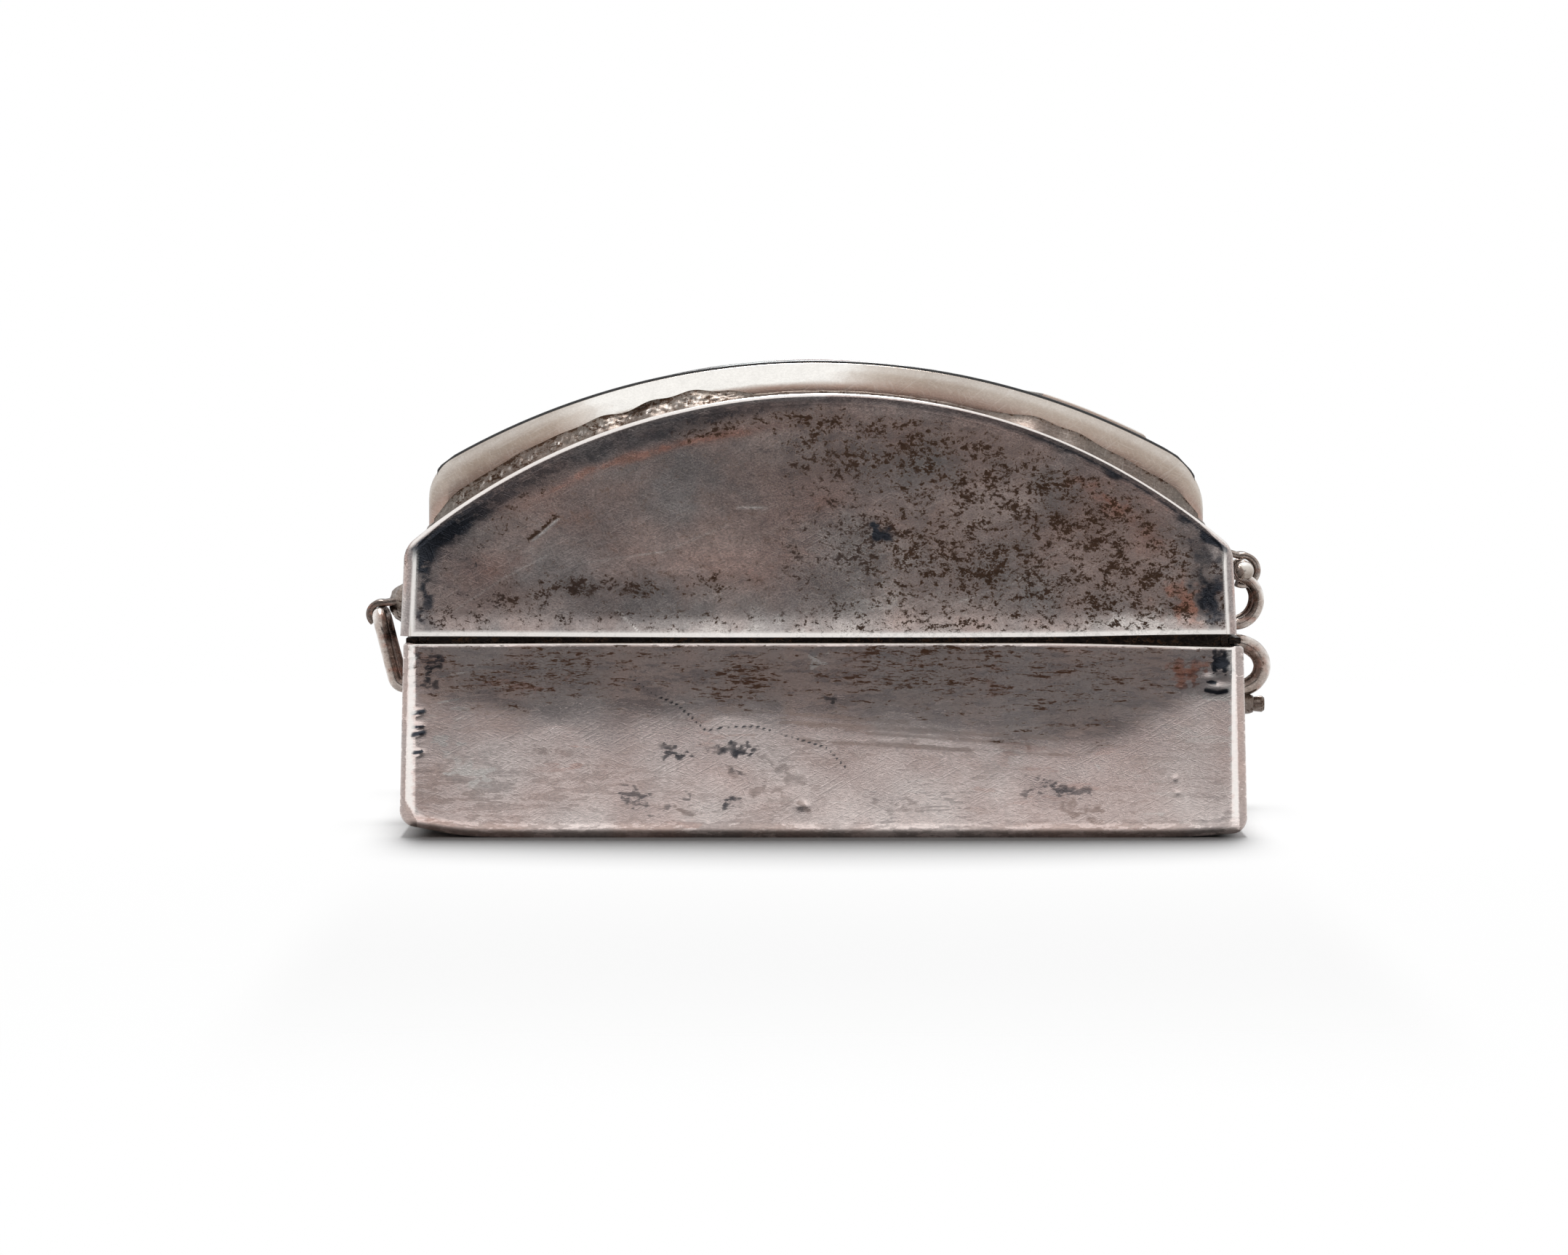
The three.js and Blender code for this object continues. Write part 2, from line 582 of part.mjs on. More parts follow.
// Pull: a strap on the lid, a pin with a ball at each end, and a bail whose two arms hang on the pin
function buildPull() {
  const axis = new THREE.Vector2(LID_WIDTH / 2 + PULL_OUT, LID_BOTTOM + PULL_RISE);
  const bore = PULL_PIN / 2 + PULL_PIN_FIT;
  const outer = bore + PULL_STRAP;
  const footHigh = axis.y - outer + PULL_STRAP_FOOT;
  const strap = strapEye(1, axis, bore, outer, axis.y - outer, footHigh, PULL_STRAP_WIDTH);
  piece('pull_strap', strap, darkSilver());

  const arm = PULL_STRAP_WIDTH / 2 + BAIL_SIDE_PLAY + BAIL_WIRE / 2;
  const ball = PULL_BALL / 2;
  const shank = PULL_PIN / 2;
  const ballAt = arm + BAIL_WIRE / 2 + BAIL_SIDE_PLAY + Math.sqrt(ball ** 2 - shank ** 2);
  const start = Math.asin(shank / ball);
  const profile = [];
  for (let step = 0; step <= ARC_STEPS / 2; step += 1) {
    const angle = Math.PI - (Math.PI - start) * step / (ARC_STEPS / 2);
    profile.push(new THREE.Vector2(ball * Math.sin(angle), -ballAt + ball * Math.cos(angle)));
  }
  const mirrored = profile.map((p) => new THREE.Vector2(p.x, -p.y)).reverse();
  const outline = [...profile, ...mirrored];
  outline[0].x = 0;
  outline[outline.length - 1].x = 0;
  const pin = new THREE.LatheGeometry(outline, BORE_STEPS);
  piece('pull_pin', pin, brightSilver()).position.set(axis.x, 0, axis.y);

  const bar = LID_WIDTH / 2 + BAIL_REST + BAIL_WIRE / 2 - axis.x;
  const route = [
    [0, 0],
    [BAIL_BULGE, 0],
    [BAIL_BULGE, -BAIL_DROP],
    [bar, -BAIL_DROP],
  ];
  const near = route.map(([x, z]) => new THREE.Vector3(x, -arm, z));
  const far = route.map(([x, z]) => new THREE.Vector3(x, arm, z)).reverse();
  let bail = bentWire([...near, ...far], BAIL_BEND, BAIL_WIRE);
  [-arm, arm].forEach((y) => {
    const eye = barAlongY(BAIL_EYE / 2, y - BAIL_WIRE / 2, y + BAIL_WIRE / 2);
    bail = join(bail, eye);
  });
  bail = cut(bail, barAlongY(bore, -arm - BAIL_WIRE, arm + BAIL_WIRE));
  piece('pull_bail', bail, darkSilver()).position.set(axis.x, 0, axis.y);
}

// Keeper: a heavy wire loop on the tray's wall, and a stud below it
function buildKeeper() {
  const wall = trayWallX(KEEPER_HEIGHT - KEEPER_RADIUS) + SOLDER_GAP;
  const reach = trayWallX(KEEPER_HEIGHT) + KEEPER_REACH;
  const corners = [
    new THREE.Vector3(wall, 0, KEEPER_HEIGHT + KEEPER_RADIUS),
    new THREE.Vector3(reach, 0, KEEPER_HEIGHT + KEEPER_RADIUS),
    new THREE.Vector3(reach, 0, KEEPER_HEIGHT - KEEPER_RADIUS),
    new THREE.Vector3(wall, 0, KEEPER_HEIGHT - KEEPER_RADIUS),
  ];
  piece('keeper_loop', bentWire(corners, KEEPER_RADIUS, KEEPER_WIRE), darkSilver());

  const height = KEEPER_HEIGHT - KEEPER_RADIUS - KEEPER_WIRE / 2 - SOLDER_GAP - STUD_RADIUS;
  const profile = [
    new THREE.Vector2(0, 0),
    new THREE.Vector2(STUD_RADIUS, 0),
    new THREE.Vector2(STUD_RADIUS, STUD_PAD),
    new THREE.Vector2(STUD_TIP_RADIUS, STUD_PAD),
    new THREE.Vector2(STUD_TIP_RADIUS, STUD_REACH),
    new THREE.Vector2(0, STUD_REACH),
  ];
  const stud = new THREE.LatheGeometry(profile, BORE_STEPS);
  stud.rotateZ(-Math.PI / 2);
  const foot = trayWallX(height - STUD_RADIUS) + SOLDER_GAP;
  piece('keeper_stud', stud, darkSilver()).position.set(foot, 0, height);
}

buildTray();
buildCollar();
buildLid();
buildBezel();
buildMainPanel();
buildBarPanel();
buildHinge();
buildPull();
buildKeeper();

export default box;
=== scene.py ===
"""Looks of an inlaid silver keepsake box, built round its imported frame.

Shapes are numpy surfaces in millimetres, in the frame's axes: +Z up, the photographed end at -Y, the hinge
on the -X side and the pull on the +X side. A mesh turns them to metres.
"""

import json
import logging
from dataclasses import dataclass
from enum import Enum

import bmesh
import bpy
import numpy as np
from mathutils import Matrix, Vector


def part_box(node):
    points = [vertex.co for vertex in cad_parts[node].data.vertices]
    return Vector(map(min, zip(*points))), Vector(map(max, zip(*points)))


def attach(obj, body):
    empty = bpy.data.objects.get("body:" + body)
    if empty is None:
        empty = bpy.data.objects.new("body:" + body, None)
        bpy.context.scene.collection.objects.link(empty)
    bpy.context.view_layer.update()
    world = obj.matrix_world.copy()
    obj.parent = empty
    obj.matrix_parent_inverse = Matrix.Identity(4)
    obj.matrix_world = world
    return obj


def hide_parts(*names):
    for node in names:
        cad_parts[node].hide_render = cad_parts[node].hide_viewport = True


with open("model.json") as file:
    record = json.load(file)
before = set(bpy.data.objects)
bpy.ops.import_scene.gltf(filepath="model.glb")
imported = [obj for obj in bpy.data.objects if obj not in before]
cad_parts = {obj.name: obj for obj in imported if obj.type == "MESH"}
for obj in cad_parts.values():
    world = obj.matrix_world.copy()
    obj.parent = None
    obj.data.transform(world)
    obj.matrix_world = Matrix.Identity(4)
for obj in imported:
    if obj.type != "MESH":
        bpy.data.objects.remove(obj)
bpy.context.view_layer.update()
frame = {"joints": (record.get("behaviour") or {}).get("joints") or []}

LOG = logging.getLogger("keepsake_box")
MM = 0.001
MERGE_GAP = 0.0005
CREASE = np.radians(38)
GOLDEN_ANGLE = np.pi * (3 - np.sqrt(5))
WAVER = 0.9

Array = np.ndarray
Point = tuple[float, float, float]
Material = bpy.types.Material
Socket = bpy.types.NodeSocket
Tree = bpy.types.NodeTree


class Stain(Enum):
    """What a silver surface carries, each an attribute from 0 to 1 on its points: tarnish and wear, and in
    places painted shade, painted highlights and painted reflections.
    """

    # Dark tarnish film; also painted shade on wires, pin, stud, corners, feet, the bezel and the seam
    DARK = "dark_tarnish_and_shade"
    # Brown specks of thick tarnish; in the solder also painted shade in its pits, its hole and under the
    # band
    BROWN = "brown_specks_and_shade"
    # Blue tarnish; also painted dark reflection along the lid's arch and walls, and painted shade in the
    # tray's nicks
    BLUE = "blue_tarnish_and_reflection"
    ROSE = "rose_tarnish"
    # Pale rubbed spots; also painted highlights, and painted reflection of the bright floor low on the lid
    # and tray
    LIGHT = "rubbed_light_and_sheen"
    # Worn bright edges; also painted highlights along rims, rounded corners, wire crests and the pin's top
    EDGE = "worn_edge_and_highlight"


DARK, BROWN, BLUE, ROSE, LIGHT, EDGE = Stain
Stains = dict[Stain, Array]


class Face(Enum):
    """Which end of the box a piece is on, as the sign of its Y."""

    FRONT = -1
    BACK = 1


# Shape helpers


def xyz(x: Array, y: Array, z: Array) -> Array:
    """Joins three coordinates, spread to one shape, to a grid of points."""
    return np.stack(np.broadcast_arrays(x, y, z), axis=-1)


def unit(rows: Array) -> Array:
    """Scales each row to a length of 1."""
    return rows / np.linalg.norm(rows, axis=1, keepdims=True)


def spread(stains: Stains | None, shape: tuple[int, ...]) -> Stains:
    """Gives the values of each stain the shape of a grid."""
    return {stain: np.broadcast_to(value, shape) for stain, value in (stains or {}).items()}


def box_mm(node: str) -> tuple[Array, Array]:
    """Gives a CAD node's lowest and highest corner, in millimetres."""
    low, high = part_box(node)
    return np.array(low) / MM, np.array(high) / MM


def joint_mm(name: str) -> Array:
    """Gives the point that a joint turns about, in millimetres."""
    found = next(joint for joint in frame["joints"] if joint["name"] == name)
    return np.array(found["pos_m"]) / MM


def smooth(value: Array, low: float, high: float) -> Array:
    """Goes from 0 at low to 1 at high along a cubic with level ends."""
    share = np.clip((value - low) / (high - low), 0, 1)
    return share * share * (3 - 2 * share)


def ripple(across: Array, up: Array, size: float, seed: float | Array = 0.0) -> Array:
    """A smooth, uneven field: the mean of six sine waves, each turned by the golden angle and shorter.

    Args:
        across: first coordinate, in millimetres.
        up: second coordinate, in millimetres.
        size: length of the longest wave.
        seed: shifts and turns the waves.

    Returns:
        Numbers about 0.5, nearly all from 0 to 1.
    """
    total = np.zeros(np.broadcast(across, up).shape)
    waves = 6
    for wave in range(waves):
        turn = GOLDEN_ANGLE * (wave + 1) + seed
        pitch = size / (1 + 0.43 * wave)
        along = across * np.cos(turn) + up * np.sin(turn)
        total += np.sin(2 * np.pi * along / pitch + 2.3 * seed + 1.7 * wave)
    return 0.5 + 0.9 * total / waves


def eased(count: int, edge: float, length: float) -> Array:
    """Shares from 0 to 1 that crowd within an edge at both ends, so that a rounded edge is drawn finely.

    Args:
        count: how many even shares lie between the two edges.
        edge: width of the fine edge, in the units of length.
        length: what the shares divide.

    Returns:
        Rising shares, with 0 and 1 at the ends.
    """
    near = edge / length * (1 - np.cos(np.linspace(0, np.pi / 2, 6)))
    middle = np.linspace(edge / length, 1 - edge / length, count)[1:-1]
    return np.concatenate([near, middle, (1 - near)[::-1]])


def fall(distance: Array, radius: float) -> Array:
    """The drop of a quarter-round edge at a distance in: its radius at the edge, 0 past the round."""
    left = radius - np.clip(distance, 0, radius)
    return radius - np.sqrt(np.maximum(radius**2 - left**2, 0))


def bar_section(width: float, depth: float, radius: float) -> Array:
    """A rectangle with round corners, centred on the origin: each corner is a quarter circle.

    Args:
        width: size along the first axis.
        depth: size along the second axis.
        radius: radius of the corners.

    Returns:
        Points of the closed loop, one row each, starting on the first axis's far side.
    """
    angle = np.linspace(0, np.pi / 2, 5)
    turn = np.concatenate([angle + quarter * np.pi / 2 for quarter in range(4)])
    corner = np.repeat(np.arange(4) * np.pi / 2 + np.pi / 4, len(angle))
    x = np.sign(np.cos(corner)) * (width / 2 - radius) + radius * np.cos(turn)
    y = np.sign(np.sin(corner)) * (depth / 2 - radius) + radius * np.sin(turn)
    return np.column_stack([x, y])


def round_section(diameter: float) -> Array:
    """A circle, as points of a closed loop."""
    turn = np.linspace(0, 2 * np.pi, 20, endpoint=False)
    return diameter / 2 * np.column_stack([np.cos(turn), np.sin(turn)])


def bent(corners: list[Point], bend: float, count: int) -> Array:
    """A line through corner points, each corner eased by a quadratic curve, with points at equal steps.

    Args:
        corners: the corner points.
        bend: how far from a corner the easing starts.
        count: how many points to give.

    Returns:
        The points, one row each.
    """
    marks = np.array(corners, float)
    share = np.linspace(0, 1, 16)[:, None]
    runs = [marks[:1]]
    for before, corner, after in zip(marks[:-2], marks[1:-1], marks[2:]):
        back = np.linalg.norm(corner - before)
        ahead = np.linalg.norm(after - corner)
        ease = min(bend, 0.49 * back, 0.49 * ahead)
        start = corner + (before - corner) / back * ease
        end = corner + (after - corner) / ahead * ease
        runs.append((1 - share) ** 2 * start + 2 * share * (1 - share) * corner + share**2 * end)
    runs.append(marks[-1:])
    line = np.concatenate(runs)
    step = np.linalg.norm(np.diff(line, axis=0), axis=1)
    along = np.concatenate([[0], np.cumsum(step)])
    wanted = np.linspace(0, along[-1], count)
    return np.column_stack([np.interp(wanted, along, line[:, axis]) for axis in range(3)])


def carry(section: Array, path: Array, steady: Point, swell: float | Array = 1.0) -> Array:
    """Carries a section along a path: each point is the path's point plus the section's two coordinates,
    laid along two directions square to the path, the first of them square to the steady direction too.

    Args:
        section: closed loop of points in two coordinates.
        path: points of the path.
        steady: a direction that the path never runs along.
        swell: size of the section at each point of the path.

    Returns:
        A grid with one row for each point of the path.
    """
    ahead = unit(np.gradient(path, axis=0))
    side = unit(np.cross(ahead, np.array(steady, float)))
    over = np.cross(side, ahead)
    size = np.broadcast_to(swell, len(path))
    first = section[None, :, 0, None] * side[:, None]
    second = section[None, :, 1, None] * over[:, None]
    return path[:, None] + size[:, None, None] * (first + second)


class Skin:
    """A mesh under construction: grids of points in millimetres, merged where they meet."""

    def __init__(self) -> None:
        """Starts with no points."""
        self.points: list[Array] = []
        self.quads: list[Array] = []
        self.stains: dict[Stain, list[Array]] = {stain: [] for stain in Stain}
        self.count = 0

    def grid(
        self,
        points: Array,
        stains: Stains | None = None,
        round_rows: bool = False,
        round_columns: bool = False,
    ) -> "Skin":
        """Adds a grid of points, with a four-sided face between each two neighbouring rows and columns.

        Args:
            points: rows by columns by 3.
            stains: what each point carries.
            round_rows: whether the last row joins the first.
            round_columns: whether the last column joins the first.

        Returns:
            This skin.
        """
        rows, columns = points.shape[:2]
        index = self.count + np.arange(rows * columns).reshape(rows, columns)
        index = np.pad(index, ((0, int(round_rows)), (0, int(round_columns))), mode="wrap")
        corners = (index[:-1, :-1], index[1:, :-1], index[1:, 1:], index[:-1, 1:])
        self.quads.append(np.stack(corners, axis=-1).reshape(-1, 4))
        self.points.append(points.reshape(-1, 3))
        for stain, values in self.stains.items():
            given = (stains or {}).get(stain, 0.0)
            values.append(np.broadcast_to(given, (rows, columns)).reshape(-1))
        self.count += rows * columns
        return self

    def tube(self, points: Array, stains: Stains | None = None) -> "Skin":
        """Adds a carried section as a closed tube, each end filled from side to side.

        Args:
            points: the grid that carry gives.
            stains: what each point carries.

        Returns:
            This skin.
        """
        self.grid(points, stains, round_columns=True)
        half = points.shape[1] // 2
        worn = spread(stains, points.shape[:2])
        for end in (0, -1):
            rows = [points[end], *(value[end] for value in worn.values())]
            pairs = [np.stack([row[:half], row[::-1][:half]]) for row in rows]
            self.grid(pairs[0], dict(zip(worn, pairs[1:])))
        return self

    def slab(self, front: Array, back: Array, stains: Stains | None = None) -> "Skin":
        """Adds a plate between two grids of the same shape, closed along its four sides.

        Args:
            front: the grid that shows.
            back: the grid behind it.
            stains: what each point of both carries.

        Returns:
            This skin.
        """
        self.grid(front, stains)
        self.grid(back, stains)
        worn = spread(stains, front.shape[:2])
        for side in ((slice(None), 0), (slice(None), -1), (0, slice(None)), (-1, slice(None))):
            pairs = {stain: np.stack([value[side]] * 2) for stain, value in worn.items()}
            self.grid(np.stack([front[side], back[side]]), pairs)
        return self

    def plate(self, front: Array, back_y: float, stains: Stains) -> "Skin":
        """Adds a plate with one fine face: its edge runs straight back along Y, and its back is filled from
        the edge to the middle.

        Args:
            front: the fine grid that shows.
            back_y: Y of the back.
            stains: what each point of the front carries.

        Returns:
            This skin.
        """
        self.grid(front, stains)
        sides = ((0, slice(None)), (slice(1, None), -1), (-1, slice(-2, None, -1)), (slice(-2, 0, -1), 0))
        edge = np.concatenate([front[side] for side in sides])
        behind = edge * (1, 0, 1) + np.array([0, back_y, 0])
        middle = np.broadcast_to(behind.mean(axis=0), behind.shape)
        worn = {stain: np.concatenate([value[side] for side in sides]) for stain, value in stains.items()}
        worn = {stain: np.stack([value] * 3) for stain, value in worn.items()}
        return self.grid(np.stack([edge, behind, middle]), worn, round_columns=True)

    def piece(self, name: str, body: str, slot: str, material: Material, node: str = "") -> None:
        """Makes the mesh, hangs it on the body that it rides on, and hides the CAD node that it replaces.

        Args:
            name: the piece's name.
            body: the CAD body that it moves with.
            slot: the record's material slot; not used.
            material: its finish.
            node: the CAD node that it replaces, if any.
        """
        mesh = bpy.data.meshes.new(name)
        points = np.concatenate(self.points) * MM
        mesh.from_pydata(points.tolist(), [], np.concatenate(self.quads).tolist())
        for stain, values in self.stains.items():
            attribute = mesh.attributes.new(stain.value, "FLOAT", "POINT")
            attribute.data.foreach_set("value", np.clip(np.concatenate(values), 0, 1).astype(np.float32))
        shape = bmesh.new()
        shape.from_mesh(mesh)
        bmesh.ops.remove_doubles(shape, verts=shape.verts, dist=MERGE_GAP * MM)
        bmesh.ops.dissolve_degenerate(shape, edges=shape.edges, dist=MERGE_GAP * MM / 10)
        bmesh.ops.recalc_face_normals(shape, faces=shape.faces)
        shape.to_mesh(mesh)
        shape.free()
        mesh.polygons.foreach_set("use_smooth", np.ones(len(mesh.polygons), bool))
        mesh.set_sharp_from_angle(angle=CREASE)
        mesh.materials.append(material)
        made = bpy.data.objects.new(name, mesh)
        bpy.context.scene.collection.objects.link(made)
        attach(made, body)
        if node:
            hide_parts(node)
        LOG.info("%s on %s: %d faces", name, body, len(mesh.polygons))


# Finishes


def linear(code: str) -> tuple[float, float, float, float]:
    """Turns an sRGB hex colour to linear light.

    Args:
        code: six hex digits after a hash.

    Returns:
        Red, green, blue and an alpha of 1.
    """
    values = np.array([int(code[i : i + 2], 16) for i in (1, 3, 5)]) / 255
    light = np.where(values <= 0.04045, values / 12.92, ((values + 0.055) / 1.055) ** 2.4)
    return (*(float(value) for value in light), 1.0)


def add(
    tree: Tree, kind: str, sockets: dict | None = None, out: int | str = 0, **settings: object
) -> Socket | None:
    """Adds a node, sets it up and links it.

    Args:
        tree: the node tree.
        kind: the node's type, without its ShaderNode prefix.
        sockets: for each input's name or number, a socket to link or a value to set.
        out: the output to give back.
        settings: the node's own settings.

    Returns:
        The chosen output, if the node has any.
    """
    node = tree.nodes.new("ShaderNode" + kind)
    for name, value in settings.items():
        setattr(node, name, value)
    for name, value in (sockets or {}).items():
        if isinstance(value, Socket):
            tree.links.new(value, node.inputs[name])
        else:
            node.inputs[name].default_value = value
    return node.outputs[out] if len(node.outputs) else None


def new_material(name: str) -> tuple[Material, Tree]:
    """Starts an empty node material, and gives it with its node tree."""
    material = bpy.data.materials.new(name)
    material.use_nodes = True
    material.node_tree.nodes.clear()
    return material, material.node_tree


def per_metre(size: float) -> float:
    """A texture's scale on coordinates in metres, from its grain in millimetres."""
    return 1 / (size * MM)


@dataclass(frozen=True)
class TarnishedSilver:
    """Silver, worked by hand, polished and then tarnished by years of air and touch.

    The metal is smooth and bright where it is rubbed. Elsewhere a thin film of sulphide dulls it to mauve
    grey, blue or rose, in smudges with ragged edges, and where the film is thick it breaks into brown, matt
    specks. A web of hairline scratches from wiping lies over all of it, drawn coarser than it is so that it
    shows. The same covers also lay painted shade, painted highlights and painted reflections where a
    piece's attributes ask for them.
    """

    name: str
    clean: str = "#cdc1bc"
    warm: str = "#bcaaa5"
    # Film colours; the dark film also lays painted shade
    dark: str = "#b09b94"
    dusk: str = "#958d8b"
    # Blue-black of blue tarnish and of painted dark reflection
    blue: str = "#40434a"
    rose: str = "#c08a78"
    halo: str = "#65503f"
    brown: str = "#38271c"
    # Pale colour of rubbed spots, painted highlights and painted reflection of the floor
    light: str = "#e4ded9"
    # Near white of worn edges and of painted highlights
    edge: str = "#f6f2ee"
    cloud_size: float = 8.0
    mottle_size: float = 1.8
    cluster_size: float = 2.4
    speck_size: float = 0.62
    grain_size: float = 0.24
    grit: float = 0.22
    hair_width: float = 0.13
    level: float = 1.6
    speck_level: float = 1.4
    wipe: float = 1.8
    soft: float = 0.05
    bite: float = 0.45
    smooth_rough: float = 0.16
    film_rough: float = 0.25
    speck_rough: float = 0.55
    relief: float = 0.007

    def cover(self, tree: Tree, stain: Stain, grain: Socket, most: float) -> Socket:
        """A stain's cover: its attribute, thinned where attribute and grain together stay under a level.

        Args:
            tree: the node tree.
            stain: the stain.
            grain: a noise about 0.5.
            most: the fullest cover.

        Returns:
            A number from 0 to the fullest cover.
        """
        amount = add(tree, "Attribute", out="Fac", attribute_name=stain.value)
        height = add(tree, "Math", {0: amount, 1: 0.3, 2: grain}, operation="MULTIPLY_ADD")
        levels = {"Value": height, "From Min": 0.65 - self.soft, "From Max": 0.65 + self.soft}
        levels |= {"To Min": 1.35 * most * (1 - self.bite), "To Max": 1.35 * most}
        full = add(tree, "MapRange", levels, interpolation_type="SMOOTHSTEP")
        return add(tree, "Math", {0: full, 1: amount}, operation="MULTIPLY", use_clamp=True)

    def hairlines(self, tree: Tree, place: Socket) -> Socket:
        """A web of fine scratches: noises drawn out along three directions, with only their crests kept.

        Args:
            tree: the node tree.
            place: the coordinates.

        Returns:
            A number from 0 to 1.
        """
        web = 0.0
        for turn in ((0.0, 0.4, 0.1), (0.5, -0.6, 0.2), (-0.5, 1.2, -0.1)):
            drawn = {"Vector": place, "Rotation": turn, "Scale": (24, 24 if turn[2] > 0.15 else 1, 1)}
            lean = add(tree, "Mapping", drawn, vector_type="TEXTURE")
            look = {"Vector": lean, "Scale": per_metre(self.hair_width), "Detail": 1.0}
            levels = {"Value": add(tree, "TexNoise", look), "From Min": 0.58, "From Max": 0.72}
            web = add(tree, "Math", {0: add(tree, "MapRange", levels), 1: web}, operation="MAXIMUM")
        return web

    def build(self) -> Material:
        """Makes the material.

        Returns:
            The material.
        """
        material, tree = new_material(self.name)
        place = add(tree, "TexCoord", out="Object")
        grains = {
            "cloud": (self.cloud_size, 1.0, 4.0, 0.5),
            "mottle": (self.mottle_size, self.level, 8.0, 0.7),
            "cluster": (self.cluster_size, self.speck_level, 3.0, 0.6),
            "speck": (self.speck_size, self.speck_level, 6.0, 0.8),
            "grain": (self.grain_size, self.wipe, 3.0, 0.7),
        }
        noise = {}
        for key, (size, squeeze, detail, rough) in grains.items():
            flat = add(tree, "Mapping", {"Vector": place, "Scale": (1, 1, squeeze)})
            look = {"Vector": flat, "Scale": per_metre(size), "Detail": detail, "Roughness": rough}
            noise[key] = add(tree, "TexNoise", look)

        drift = add(tree, "MapRange", {"Value": noise["cloud"], "From Min": 0.4, "From Max": 0.6})
        bare, filmed = (
            add(tree, "Mix", {0: drift, 6: linear(first), 7: linear(second)}, out=2, data_type="RGBA")
            for first, second in ((self.clean, self.warm), (self.dusk, self.dark))
        )
        # The dark film's cover, which also lays painted shade
        film = self.cover(tree, DARK, noise["mottle"], 1.0)
        covers = [(film, filmed)]
        # Rose, and the light cover of rubbed spots, painted highlights and painted reflection
        for stain, code, most in ((ROSE, self.rose, 0.75), (LIGHT, self.light, 0.85)):
            covers.append((self.cover(tree, stain, noise["cluster"], most), linear(code)))
        web = self.hairlines(tree, place)
        faint = add(tree, "Math", {0: web, 1: 0.09}, operation="MULTIPLY")
        covers.append((faint, linear(self.light)))

        density = add(tree, "Attribute", out="Fac", attribute_name=BROWN.value)
        some = add(tree, "Math", {0: density, 1: 6.0}, operation="MULTIPLY", use_clamp=True)
        thick = add(tree, "Math", {0: density, 1: 0.13, 2: noise["speck"]}, operation="MULTIPLY_ADD")
        for key, part in (("cluster", 0.35), ("grain", 0.3)):
            thick = add(tree, "Math", {0: noise[key], 1: part, 2: thick}, operation="MULTIPLY_ADD")
        fine = add(tree, "Math", {0: density, 1: 0.12, 2: noise["grain"]}, operation="MULTIPLY_ADD")
        for depth, low, high, most, code in (
            (fine, 0.6, 0.64, 0.4, self.brown),
            (thick, 0.9, 0.94, 0.35, self.halo),
            (thick, 0.93, 0.95, 0.95, self.brown),
        ):
            levels = {"Value": depth, "From Min": low, "From Max": high, "To Max": most}
            specks = add(tree, "MapRange", levels, interpolation_type="SMOOTHSTEP")
            specks = add(tree, "Math", {0: specks, 1: some}, operation="MULTIPLY")
            covers.append((specks, linear(code)))
        # Blue cover: blue tarnish and painted dark reflection
        blued = self.cover(tree, BLUE, noise["mottle"], 0.92)
        covers.append((blued, linear(self.blue)))
        colour = bare
        for share, over in covers:
            colour = add(tree, "Mix", {0: share, 6: colour, 7: over}, out=2, data_type="RGBA")
        tone = 1.0
        for key, depth in (("mottle", 0.5 * self.grit), ("grain", self.grit)):
            levels = {"Value": noise[key], "From Min": 0.4, "From Max": 0.6}
            levels |= {"To Min": 1 - depth, "To Max": 1 + depth}
            tone = add(tree, "Math", {0: add(tree, "MapRange", levels), 1: tone}, operation="MULTIPLY")
        colour = add(tree, "VectorMath", {0: colour, "Scale": tone}, operation="SCALE")
        # Edge cover: worn edges and painted highlights
        edge = add(tree, "Attribute", out="Fac", attribute_name=EDGE.value)
        colour = add(tree, "Mix", {0: edge, 6: colour, 7: linear(self.edge)}, out=2, data_type="RGBA")

        levels = {"Value": film, "To Min": self.smooth_rough, "To Max": self.film_rough}
        rough = add(tree, "MapRange", levels)
        rough = add(tree, "Mix", {0: specks, 2: rough, 3: self.speck_rough})
        for share in (blued, edge):
            rough = add(tree, "Mix", {0: share, 2: rough, 3: self.smooth_rough})
        height = add(tree, "Math", {0: specks, 1: 0.4, 2: noise["grain"]}, operation="MULTIPLY_ADD")
        height = add(tree, "Math", {0: web, 1: -0.5, 2: height}, operation="MULTIPLY_ADD")
        bump = add(tree, "Bump", {"Height": height, "Strength": 0.5, "Distance": self.relief * MM})
        look = {"Base Color": colour, "Metallic": 1.0, "Roughness": rough, "Normal": bump}
        add(tree, "OutputMaterial", {"Surface": add(tree, "BsdfPrincipled", look)})
        return material


